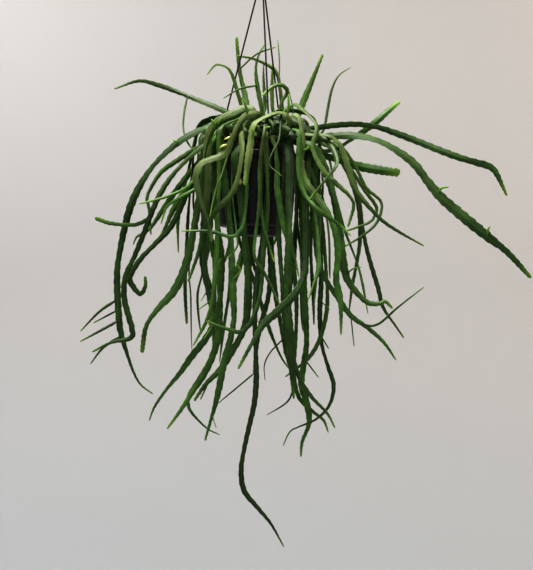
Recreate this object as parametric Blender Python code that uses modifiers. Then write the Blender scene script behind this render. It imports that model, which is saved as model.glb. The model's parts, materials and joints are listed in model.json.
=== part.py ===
"""A strap-stemmed epiphytic cactus in its black plastic hanging pot, metres, +Z up, hook's saddle at the origin."""

import math
import random

import bmesh
import bpy
import numpy as np
from mathutils import Vector
from mathutils.kdtree import KDTree

# Driving dimensions of the pot and its hanger
RIM_RADIUS = 0.075
RIM_Z = -0.335
POT_HEIGHT = 0.124
POT_WALL = 0.0018
LIP_HEIGHT = 0.010
WALL_TOP_RADIUS = 0.0705
WALL_BOTTOM_RADIUS = 0.063
SAUCER_RADIUS = 0.043
SAUCER_HEIGHT = 0.0135
DRAIN_CIRCLE = 0.030
STRAND_RADIUS = 0.0014
STRAND_ANGLES = (-72.0, 48.0, 168.0)
STRAND_SEAT_RADIUS = 0.0722
HUB_Z = -0.045
HUB_RADIUS = 0.0085
HOOK_ROD_RADIUS = 0.0023
HOOK_MOUTH_RADIUS = 0.013
GAP = 0.0003

# Soil and the places where shoots stand in it
SOIL_EDGE_DROP = 0.008
SOIL_RISE = 0.046
ROOT_SPREAD = 0.058
ROOT_PLACES = 54
ROOT_RADIUS = 0.0026
ROOT_DEPTH = 0.009
ROOT_STANDS = 0.007

# Stems
STEM_THICKNESS = 0.0024
THIN_STEM = 0.0050
CRENATION = 0.13
SAMPLE_STEP = 0.009
RING_EVERY = 4
SHARP_BEND = math.radians(19)
SPARE_ROOM = 0.0012
PARTING_LENGTH = 0.035
UNTANGLE_TURNS = 200
SETTLE_TURNS = 140
SEED = 11

# How the photograph sees the plant: its pixels, its scale at the pot's axis, and its slight lean
RIM_IN_PHOTO = (256.6, 155.0)
PHOTO_CENTRE = (266.5, 285.0)
METRES_PER_PIXEL = 0.001705
CAMERA_AWAY = 1.70
PHOTO_LEAN = math.radians(1.8)

POT_BOTTOM_Z = RIM_Z - POT_HEIGHT
SAUCER_BOTTOM_Z = POT_BOTTOM_Z - GAP - SAUCER_HEIGHT


def stem(width, toward, *route):
    """A stem from the root: width in mm, then how far toward the viewer in mm along it, then photo points."""
    return ("stem", width, toward, route)


def side(width, toward, *route):
    """A side shoot of the stem listed before it, written in the same way."""
    return ("side", width, toward, route)


def back(width, heading, reach, drop, drift=0.0):
    """A stem by rule: heading in degrees from +X, reach and drop in mm, and how far it drifts on the way down."""
    return ("back", width, (heading, reach, drop, drift), ())


# Every shoot: one root and the stems that leave it, with points read from the photograph
SHOOTS = {
    "left_arc": [
        stem(15, (15, 25, 10, 0), (232, 126), (216, 130), (200, 135), (186, 141), (173, 149), (159, 161),
             (146, 176), (136, 194), (128, 214), (123, 236), (118, 262), (117, 282), (118, 300), (119, 320),
             (122, 338), (128, 356), (134, 373), (141, 385), (148, 391), (153, 394)),
        side(5.5, (4, 12), (117, 301), (105, 307), (94, 318), (80, 332)),
        side(4.5, (3, -10), (118, 311), (108, 317), (93, 324)),
        side(6, (3, 20), (119, 321), (107, 327), (94, 335), (80, 342)),
        side(6, (2, 8), (121, 334), (110, 341), (100, 349), (93, 357), (90, 363)),
    ],
    "left_inner": [
        stem(9.5, (40, 50, 30, 20), (200, 146), (188, 157), (176, 171), (167, 182), (160, 194), (153, 208),
             (148, 223), (142, 238), (136, 253), (129, 268), (124, 282), (124, 296), (127, 310), (131, 325),
             (133, 334), (129, 339), (121, 340), (110, 343), (99, 348), (92, 352)),
        side(7.5, (24, 60), (150, 217), (143, 222), (134, 225), (122, 224), (109, 223), (95, 218)),
    ],
    "left_bright": [
        stem(6.5, (60, 95, 110), (208, 150), (203, 164), (196, 178), (187, 187), (177, 193), (165, 197),
             (152, 200), (139, 204)),
        stem(6.5, (50, 80, 85), (210, 160), (204, 178), (196, 189), (186, 193), (177, 199), (168, 206),
             (162, 216), (161, 224)),
    ],
    "left_hook": [
        stem(9.5, (30, 35, 20, 30), (206, 158), (193, 182), (181, 208), (170, 228), (160, 239), (148, 251),
             (139, 261), (132, 270), (130, 280), (135, 289), (141, 294), (145, 290), (145, 283), (145, 276)),
        stem(12, (20, 5, -5), (207, 162), (196, 180), (184, 194), (176, 204), (171, 216), (165, 228),
             (158, 242)),
        stem(8.5, (20, -20, -25), (204, 142), (190, 151), (177, 160), (165, 168), (156, 179), (149, 192),
             (147, 202), (150, 212), (152, 223), (151, 235)),
        stem(9.5, (0, -40, -60), (206, 152), (190, 172), (178, 188), (168, 202), (160, 214), (152, 226),
             (146, 232), (138, 236), (134, 240), (133, 245)),
    ],
    "left_front": [
        stem(13.5, (60, 90, 90, 70), (250, 115), (236, 118), (222, 122), (213, 131), (208, 143), (205, 158),
             (202, 180), (199, 200), (196, 218), (192, 238), (188, 258), (182, 276), (174, 291), (163, 304),
             (152, 315), (146, 327), (144, 340), (142, 353)),
    ],
    "left_high": [
        stem(9, (-5, -25, -30), (240, 122), (232, 118), (222, 113), (208, 105), (195, 100), (182, 94), (168, 89),
             (155, 84), (147, 82), (139, 81), (128, 84), (114, 89)),
        side(3.5, (-28, 10, 40), (189, 98), (186, 108), (184, 120), (184, 133), (187, 142), (194, 150), (203, 157)),
    ],
    "olive_left": [
        stem(13.5, (60, 98, 115, 118), (262, 116), (252, 118), (244, 123), (238, 133), (232, 144), (226, 153), (217, 158),
             (207, 161), (199, 166), (196, 177), (198, 192), (201, 203), (205, 214), (209, 226), (212, 242)),
        stem(13.5, (45, 75, 90), (256, 113), (244, 116), (232, 122), (221, 133), (213, 145), (209, 160), (208, 180),
             (206, 205), (204, 230), (203, 255), (205, 275), (208, 291), (212, 304), (213, 316), (210, 326)),
    ],
    "olive_centre": [
        stem(12, (50, 92, 112), (289, 123), (277, 120), (267, 123), (259, 132), (255, 145), (251, 160), (248, 174),
             (246, 187)),
        stem(9.5, (62, 88, 95), (248, 136), (246, 145), (243, 156), (240, 168), (239, 181), (236, 191), (229, 200),
             (220, 208), (212, 217), (206, 227), (202, 240), (198, 254), (192, 268), (188, 282)),
        stem(3.5, (60, 95, 120), (236, 140), (229, 160), (221, 180), (216, 190), (214, 200), (213, 209), (209, 218)),
    ],
    "centre_green": [
        stem(9, (55, 92, 102), (258, 128), (263, 134), (269, 143), (273, 158), (274, 175), (277, 195), (281, 212),
             (284, 226), (289, 240), (293, 252), (297, 264), (300, 279)),
        stem(4, (45, 95, 110), (282, 117), (284, 128), (283, 140), (278, 151), (272, 158), (271, 166), (277, 173),
             (283, 177)),
        stem(3.4, (45, 82, 105), (243, 150), (240, 175), (236, 200), (237, 222), (238, 241), (236, 252), (228, 259)),
        stem(8, (45, 85, 120), (300, 158), (306, 180), (312, 205), (316, 230), (318, 252), (318, 270), (315, 285),
             (308, 300)),
        stem(5, (-70, -90, -60), (322, 150), (334, 190), (343, 225), (353, 252), (360, 272), (364, 292), (368, 314)),
    ],
    "pale_right": [
        stem(11, (50, 90, 100), (294, 113), (297, 122), (299, 136), (299, 150), (300, 165), (303, 177), (310, 188),
             (319, 200), (326, 210), (332, 222), (336, 236), (338, 250), (337, 264), (336, 278), (339, 294),
             (342, 310), (343, 323), (341, 335)),
    ],
    "crossing": [
        stem(7.5, (40, 95, 115), (308, 132), (322, 138), (331, 146), (336, 156), (336, 165), (331, 173), (323, 181),
             (315, 189), (309, 200)),
        stem(7.5, (-35, -75, -80), (300, 122), (306, 128), (310, 140), (312, 165), (313, 195), (312, 225),
             (311, 255), (313, 290), (314, 325)),
    ],
    "arch_right": [
        stem(8.5, (20, 70, 95, 95), (289, 112), (294, 107), (303, 112), (312, 120), (317, 129), (315, 138),
             (313, 148), (318, 162), (326, 174), (336, 184), (345, 191), (352, 200), (354, 210), (352, 218),
             (348, 227)),
    ],
    "right_high": [
        stem(11.5, (0, -5, 15), (302, 134), (312, 131), (324, 128), (337, 126), (351, 125), (366, 125), (380, 128),
             (395, 133), (409, 138), (424, 144), (439, 150), (455, 156), (470, 161), (482, 164), (490, 167),
             (497, 174), (501, 183), (507, 196)),
    ],
    "right_long": [
        stem(17, (30, 40, 60), (303, 143), (314, 141), (327, 138), (341, 136), (355, 136), (370, 138), (385, 144),
             (399, 152), (411, 161), (421, 171), (428, 182), (436, 192), (447, 203), (459, 213), (471, 223),
             (484, 234), (496, 243), (507, 252), (516, 261), (524, 270), (531, 278)),
    ],
    "right_up": [
        stem(8.5, (5, -10, -30), (318, 150), (328, 151), (338, 148), (350, 140), (364, 131), (377, 121), (388, 111),
             (400, 101)),
        stem(12.5, (0, 10, 30), (322, 152), (336, 157), (350, 163), (362, 166), (375, 169), (388, 171), (400, 173)),
    ],
    "right_upright": [
        stem(11, (-5, -10, -5), (290, 132), (296, 122), (301, 111), (306, 98), (311, 85), (316, 72), (320, 62),
             (323, 54)),
        stem(4.5, (-30, -45, -50), (308, 134), (318, 134), (323, 126), (326, 113), (329, 99), (332, 88), (337, 78),
             (343, 71), (351, 67)),
    ],
    "right_sweep": [
        stem(10, (55, 75, 60), (318, 136), (329, 139), (338, 147), (345, 158), (348, 172), (353, 186), (361, 198),
             (369, 207), (377, 215), (384, 222), (393, 229), (403, 234), (413, 239), (424, 246)),
    ],
    "right_loop": [
        stem(5.5, (20, 20, 45), (330, 143), (344, 152), (353, 163), (358, 174), (364, 186), (374, 194), (381, 202),
             (381, 211), (377, 222), (370, 230), (362, 236), (353, 241), (344, 247)),
        stem(6.5, (10, 0, 20), (332, 148), (345, 160), (354, 174), (363, 188), (371, 197), (376, 206), (374, 217),
             (366, 224), (355, 228), (343, 232)),
    ],
    "right_fall": [
        stem(7.5, (-10, -25, -20), (335, 150), (347, 165), (355, 185), (360, 207), (363, 230), (367, 250),
             (372, 268), (377, 284), (381, 299), (385, 312), (391, 320), (398, 329), (404, 338)),
        stem(7.5, (-20, -45, -50), (335, 152), (347, 172), (356, 196), (360, 218), (360, 240), (358, 256),
             (355, 272), (352, 288), (350, 302), (349, 312)),
    ],
    "right_hook": [
        stem(13, (60, 80, 70), (308, 140), (320, 155), (328, 177), (334, 200), (338, 222), (341, 243), (343, 262),
             (346, 276), (353, 289), (362, 298), (371, 304), (380, 304), (387, 302), (393, 309)),
        side(4.5, (75, 95), (347, 277), (352, 272), (358, 270), (363, 269)),
    ],
    "right_low": [
        stem(9, (20, 60, 60, 50), (304, 150), (312, 175), (315, 205), (315, 235), (318, 260), (324, 276), (331, 288),
             (338, 298), (345, 307), (352, 317), (361, 324), (371, 330), (380, 338), (388, 348), (396, 360)),
        side(4, (57, 85), (361, 324), (370, 327), (380, 324), (388, 319), (396, 310), (405, 300), (414, 292), (424, 287)),
        side(3.2, (60, 50), (352, 316), (352, 328), (352, 338), (355, 347)),
    ],
    "low_hook": [
        stem(11, (-15, -60, -35, 10), (302, 140), (312, 165), (317, 200), (320, 240), (322, 275), (322, 300),
             (322, 325), (323, 345), (327, 362), (332, 377), (334, 390), (331, 402), (325, 412), (317, 419),
             (307, 423), (297, 428), (288, 434), (283, 446)),
        side(4.5, (-40, -30), (323, 303), (328, 308), (333, 313)),
        side(4.5, (-35, -30), (325, 336), (329, 342), (333, 349)),
    ],
    "longest": [
        stem(10, (60, 92, 90, 70), (262, 146), (265, 158), (266, 176), (265, 200), (263, 225), (260, 250), (258, 270),
             (256, 290), (255, 312), (255, 335), (256, 355), (256, 375), (256, 392), (253, 410), (249, 427),
             (245, 445), (242, 462), (241, 476), (243, 488), (249, 498), (257, 507), (265, 516), (273, 527),
             (279, 538), (284, 547)),
        side(2.6, (88, 60), (255, 369), (246, 375), (240, 383), (233, 391), (225, 397), (217, 403)),
    ],
    "low_left_a": [
        stem(14, (50, 92, 95, 80), (226, 152), (227, 172), (229, 205), (231, 235), (232, 262), (233, 290), (234, 312),
             (233, 330), (229, 344), (225, 358), (222, 373), (219, 389), (216, 402), (212, 416), (208, 430), (205, 441)),
        side(2.6, (80, 95), (212, 417), (214, 423), (216, 430)),
    ],
    "low_left_b": [
        stem(12.3, (40, 80, 85, 65), (242, 148), (244, 168), (245, 200), (246, 235), (248, 262), (249, 290), (248, 310),
             (245, 326), (239, 339), (232, 351), (225, 363), (217, 373), (208, 382), (201, 389), (197, 394), (194, 401)),
        side(4.5, (68, 50), (212, 378), (207, 385), (204, 391), (203, 397)),
    ],
    "olive_curve": [
        stem(8, (70, 105, 118), (266, 150), (266, 185), (265, 215), (263, 240), (262, 265), (261, 288), (258, 305),
             (252, 320), (244, 330), (235, 332), (226, 330), (217, 326), (206, 321)),
        stem(6, (80, 110, 112), (262, 165), (262, 195), (259, 220), (256, 238), (254, 252), (258, 264), (264, 272),
             (270, 284), (276, 296), (281, 308)),
    ],
    "diagonal": [
        stem(12.5, (55, 118, 135), (304, 165), (306, 200), (307, 230), (306, 255), (304, 273), (298, 287), (289, 299),
             (280, 308), (270, 317), (261, 327), (254, 339), (248, 351), (243, 360), (238, 369)),
        side(5, (132, 110), (269, 317), (262, 319), (256, 322)),
    ],
    "low_left_c": [
        stem(11, (30, 60, 50, 30), (222, 150), (222, 185), (224, 220), (225, 250), (223, 275), (221, 295), (218, 313),
             (212, 329), (204, 341), (195, 352), (187, 363), (180, 373), (171, 384), (162, 395), (155, 406), (149, 421)),
        side(4.5, (44, 65), (213, 326), (209, 334), (203, 340)),
    ],
    "low_left_d": [
        stem(12, (0, -20, 0, 20), (212, 160), (215, 195), (218, 230), (220, 262), (221, 290), (220, 315), (218, 338),
             (213, 355), (206, 371), (198, 384), (190, 396), (182, 408), (175, 419), (167, 429)),
        stem(2.6, (-20, -60, -70), (207, 165), (199, 205), (192, 240), (189, 270), (191, 300), (191, 325), (192, 350)),
    ],
    "low_left_e": [
        stem(11, (-20, -50, -20, 20), (214, 158), (208, 195), (205, 235), (205, 262), (208, 290), (214, 318),
             (216, 338), (212, 354), (205, 369), (197, 382), (190, 393), (188, 403), (192, 413), (200, 421),
             (209, 430), (220, 435)),
        side(4, (-40, -20), (207, 288), (205, 294), (200, 300)),
    ],
    "low_left_f": [
        stem(6.5, (75, 105, 112), (222, 160), (219, 200), (217, 235), (216, 262), (214, 285), (212, 302), (208, 316),
             (203, 330), (193, 346)),
        side(3.5, (108, 90), (211, 301), (206, 304), (197, 311)),
    ],
    "low_right_a": [
        stem(11.5, (-30, -80, -50, -10), (298, 138), (301, 175), (302, 215), (303, 255), (304, 290), (305, 320),
             (306, 345), (304, 362), (301, 376), (303, 391), (308, 406), (310, 420), (306, 432), (302, 444), (301, 457)),
        side(4, (-30, -10), (306, 358), (312, 366), (317, 371), (320, 377)),
    ],
    "low_right_b": [
        stem(13.3, (60, 100, 105, 80), (284, 146), (287, 170), (287, 210), (288, 245), (288, 280), (289, 312),
             (291, 342), (292, 370), (294, 399)),
        side(3.4, (84, 60), (292, 388), (288, 400), (281, 406), (274, 411), (266, 415)),
        stem(8.5, (50, 86, 80, 90), (279, 150), (278, 180), (277, 220), (280, 260), (283, 295), (285, 325), (291, 352),
             (298, 375), (306, 390), (316, 402), (326, 412), (332, 421), (335, 428)),
    ],
    "centre_bright": [
        stem(6.5, (70, 110, 122), (246, 140), (245, 165), (246, 190), (245, 212), (241, 228), (232, 236), (222, 235),
             (211, 231), (200, 229), (181, 230)),
        stem(5.5, (40, 90, 112), (262, 160), (261, 190), (262, 212), (265, 230), (270, 242), (271, 252), (275, 263)),
    ],
    "centre_strap": [
        stem(8.5, (60, 105, 120), (296, 135), (298, 165), (302, 188), (309, 201), (318, 210), (328, 216), (336, 222),
             (344, 229), (351, 236)),
        stem(7, (-20, -60, -50), (238, 140), (240, 180), (243, 215), (248, 250), (255, 280), (262, 305), (268, 325),
             (276, 346), (284, 362), (291, 371)),
    ],
    "low_right_c": [
        stem(8, (-55, -95, -60, -10), (280, 128), (284, 170), (288, 215), (292, 255), (296, 295), (296, 330),
             (294, 358), (294, 380), (298, 396), (308, 408), (319, 415), (325, 423), (328, 432)),
        stem(7.5, (-30, -85, -40, 20), (304, 135), (316, 170), (322, 210), (325, 255), (326, 295), (322, 325),
             (316, 345), (308, 358), (298, 367), (285, 377)),
    ],
    "low_right_d": [
        stem(9, (-50, -95, -85), (266, 128), (268, 170), (270, 215), (272, 255), (275, 290), (280, 320), (285, 345),
             (291, 368), (296, 385), (298, 397)),
        side(3, (-88, -60), (283, 337), (275, 347), (268, 354), (264, 366), (265, 380)),
    ],
    "top_tall": [
        stem(10.5, (-10, -15, -10), (251, 118), (248, 106), (245, 93), (242, 79), (240, 66), (238, 54), (238, 45),
             (238, 37)),
        side(2.6, (-12, 10), (241, 68), (250, 61), (258, 55), (267, 50), (277, 48)),
        stem(7, (10, 20, 25), (246, 118), (241, 106), (239, 94), (236, 83), (232, 74), (227, 67), (220, 64), (212, 68),
             (207, 75)),
    ],
    "top_centre": [
        stem(8, (5, 0, -5), (262, 118), (261, 106), (259, 95), (256, 82), (255, 69), (255, 60), (259, 50), (265, 40)),
        side(4.5, (1, 30), (257, 83), (248, 84), (240, 88), (231, 93), (223, 98)),
        stem(6.5, (-25, -35, -35), (266, 116), (266, 102), (265, 88), (264, 76), (264, 64)),
    ],
    "top_arch": [
        stem(7, (-40, -30, -5), (284, 118), (283, 106), (281, 93), (280, 82), (277, 73), (271, 66), (262, 61),
             (252, 58), (244, 56), (235, 55)),
        side(2.6, (-30, -45), (280, 83), (280, 66), (279, 52), (278, 40)),
        stem(7.5, (-55, -60, -60), (274, 118), (272, 104), (272, 90), (273, 75), (273, 61)),
    ],
    "top_twist": [
        stem(11, (-15, 0, 25), (276, 120), (278, 110), (282, 101), (287, 93), (285, 86), (278, 86), (270, 88),
             (262, 96)),
        stem(3, (15, 20, 25), (290, 124), (289, 112), (289, 103), (288, 94)),
    ],
    "back_1": [back(11, 20, 70, 150, 40), back(9, 55, 60, 330, -30)],
    "back_2": [back(12, 75, 65, 420, 20), back(9, 100, 45, 260, -30)],
    "back_3": [back(10, 130, 70, 350, 20), back(9, 155, 80, 210, 30)],
    "back_4": [back(12, 90, 80, 300, 40), back(8, 112, 40, 400, 20)],
    "back_5": [back(10, 35, 75, 240, -50), back(12, 5, 50, 300, 20)],
    "back_6": [back(11, 145, 60, 280, -40), back(10, 178, 50, 330, 20)],
    "back_7": [back(11, 62, 95, 190, 30), back(10, 82, 40, 340, 30)],
    "back_8": [back(10, 118, 95, 170, -30), back(11, 98, 60, 220, 30)],
    "back_9": [back(12, 45, 50, 380, 30), back(8, 68, 45, 180, 10)],
    "back_10": [back(11, 138, 45, 390, -20), back(9, 160, 55, 160, -20)],
}


def empty_scene():
    for found in list(bpy.data.objects):
        bpy.data.objects.remove(found, do_unlink=True)
    for found in list(bpy.data.collections):
        bpy.data.collections.remove(found)


def new_collection(name):
    made = bpy.data.collections.new(name)
    bpy.context.scene.collection.children.link(made)
    return made


def material(name, colour, roughness, metallic=0.0):
    made = bpy.data.materials.new(name)
    made.use_nodes = True
    made.diffuse_color = (*colour, 1.0)
    shader = made.node_tree.nodes["Principled BSDF"]
    shader.inputs["Base Color"].default_value = (*colour, 1.0)
    shader.inputs["Roughness"].default_value = roughness
    shader.inputs["Metallic"].default_value = metallic
    return made


def add_object(name, mesh, paint, collection):
    made = bpy.data.objects.new(name, mesh)
    mesh.materials.clear()
    mesh.materials.append(paint)
    collection.objects.link(made)
    return made


def smooth_faces(mesh):
    for face in mesh.polygons:
        face.use_smooth = True


def turned(name, profile, steps, paint, collection):
    """A profile of (radius, height) points, outer side from top to bottom, spun round the Z axis."""
    mesh = bpy.data.meshes.new(name)
    points = [(radius, 0.0, height) for radius, height in profile]
    mesh.from_pydata(points, [(i, i + 1) for i in range(len(points) - 1)], [])
    made = add_object(name, mesh, paint, collection)
    screw = made.modifiers.new("spin", "SCREW")
    screw.steps = steps
    screw.render_steps = steps
    screw.use_merge_vertices = True
    screw.merge_threshold = 0.0001
    screw.use_smooth_shade = True
    return made


def prism(sides, radius, low, high):
    """A closed upright prism, as a bmesh."""
    made = bmesh.new()
    bmesh.ops.create_cone(made, cap_ends=True, segments=sides, radius1=radius, radius2=radius, depth=high - low)
    bmesh.ops.translate(made, vec=(0, 0, (low + high) / 2), verts=made.verts)
    return made


def mesh_from(name, shape):
    mesh = bpy.data.meshes.new(name)
    shape.to_mesh(mesh)
    shape.free()
    return mesh


def rod_between(name, start, end, radius, sides, paint, collection):
    """A round straight rod, its mesh along Z and the object turned to point from start to end."""
    along = end - start
    made = add_object(name, mesh_from(name, prism(sides, radius, 0, along.length)), paint, collection)
    made.location = start
    made.rotation_euler = along.to_track_quat("Z", "Y").to_euler()
    smooth_faces(made.data)
    return made


def inner_wall(height):
    """The radius of the pot's inner wall at this height."""
    low, high = POT_BOTTOM_Z + 0.010, RIM_Z - 0.0028
    narrow, wide = WALL_BOTTOM_RADIUS - 0.0010, WALL_TOP_RADIUS - POT_WALL
    return narrow + (wide - narrow) * (height - low) / (high - low)


def soil_height(radius):
    """The mound's height at this distance from the pot's axis."""
    edge = inner_wall(RIM_Z - SOIL_EDGE_DROP) - GAP
    return RIM_Z - SOIL_EDGE_DROP + SOIL_RISE * (1 - (radius / edge) ** 2)


def root_places():
    """Places for roots on the mound, spread like the seeds of a sunflower."""
    places = []
    for number in range(ROOT_PLACES):
        radius = ROOT_SPREAD * math.sqrt((number + 0.5) / ROOT_PLACES)
        angle = number * math.radians(137.508)
        places.append(Vector((radius * math.cos(angle), radius * math.sin(angle), soil_height(radius))))
    return places


def seen_at(pixel, toward):
    """The place of what the photograph shows at this pixel and that far toward the camera from the pot's axis."""
    nearer = (CAMERA_AWAY - toward) / CAMERA_AWAY
    right = PHOTO_CENTRE[0] + (pixel[0] - PHOTO_CENTRE[0]) * nearer - RIM_IN_PHOTO[0]
    down = PHOTO_CENTRE[1] + (pixel[1] - PHOTO_CENTRE[1]) * nearer - RIM_IN_PHOTO[1]
    x = (right * math.cos(PHOTO_LEAN) + down * math.sin(PHOTO_LEAN)) * METRES_PER_PIXEL
    z = (right * math.sin(PHOTO_LEAN) - down * math.cos(PHOTO_LEAN)) * METRES_PER_PIXEL
    return Vector((x, -toward, RIM_Z + z))


def along_values(values, share):
    """The value at this share of the way along evenly spread values."""
    at = share * (len(values) - 1)
    first = min(int(at), len(values) - 2)
    return values[first] + (values[first + 1] - values[first]) * (at - first)


def photo_route(toward, pixels):
    last = len(pixels) - 1
    return [seen_at(pixel, 0.001 * along_values(toward, i / last)) for i, pixel in enumerate(pixels)]


def falling_route(heading, reach, drop, drift, luck):
    """A stem that rises from the crown, arches over the rim, and falls with a slow drift sideways."""
    way = math.radians(heading)
    out = Vector((math.cos(way), math.sin(way), 0))
    across = Vector((-out.y, out.x, 0))
    height = luck.uniform(0.045, 0.075)
    far = RIM_RADIUS + 0.001 * reach * 0.45
    route = [out * 0.045 + Vector((0, 0, height)), out * far + Vector((0, 0, height * 0.75))]
    steps = max(3, round(drop / 70))
    for step in range(1, steps + 1):
        share = step / steps
        swing = 0.001 * drift * share ** 1.5 + luck.uniform(-0.008, 0.008)
        spread = far + 0.001 * reach * (0.25 * math.sin(share * math.pi * 0.8) + 0.08)
        route.append(out * spread + across * swing + Vector((0, 0, height * 0.6 - 0.001 * drop * share)))
    return [point + Vector((0, 0, RIM_Z)) for point in route]


def over_the_rim(first):
    """The points that carry a hanging stem from its root over the rim to its first point below the rim."""
    flat = Vector((first.x, first.y, 0))
    if first.z > RIM_Z + 0.02 or flat.length < 0.03:
        return []
    out = flat.normalized()
    shoulder = max(RIM_RADIUS + 0.012, flat.length * 0.85)
    return [out * 0.045 + Vector((0, 0, RIM_Z + 0.045)), out * shoulder + Vector((0, 0, RIM_Z + 0.022))]


def curve_through(points, step):
    """Evenly spaced points on a smooth curve through these points."""
    ends = [points[0] * 2 - points[1], *points, points[-1] * 2 - points[-2]]
    fine = []
    for before, start, end, after in zip(ends, ends[1:], ends[2:], ends[3:]):
        pieces = max(2, math.ceil((end - start).length / 0.002))
        for piece in range(pieces):
            t = piece / pieces
            fine.append(0.5 * (2 * start + (end - before) * t + (2 * before - 5 * start + 4 * end - after) * t * t
                               + (3 * start - before - 3 * end + after) * t ** 3))
    fine.append(points[-1].copy())
    lengths = np.concatenate([[0], np.cumsum([(b - a).length for a, b in zip(fine, fine[1:])])])
    count = max(3, round(lengths[-1] / step) + 1)
    marks = np.linspace(0, lengths[-1], count)
    places = np.array(fine)
    return np.stack([np.interp(marks, lengths, places[:, axis]) for axis in range(3)], axis=1)


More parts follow.
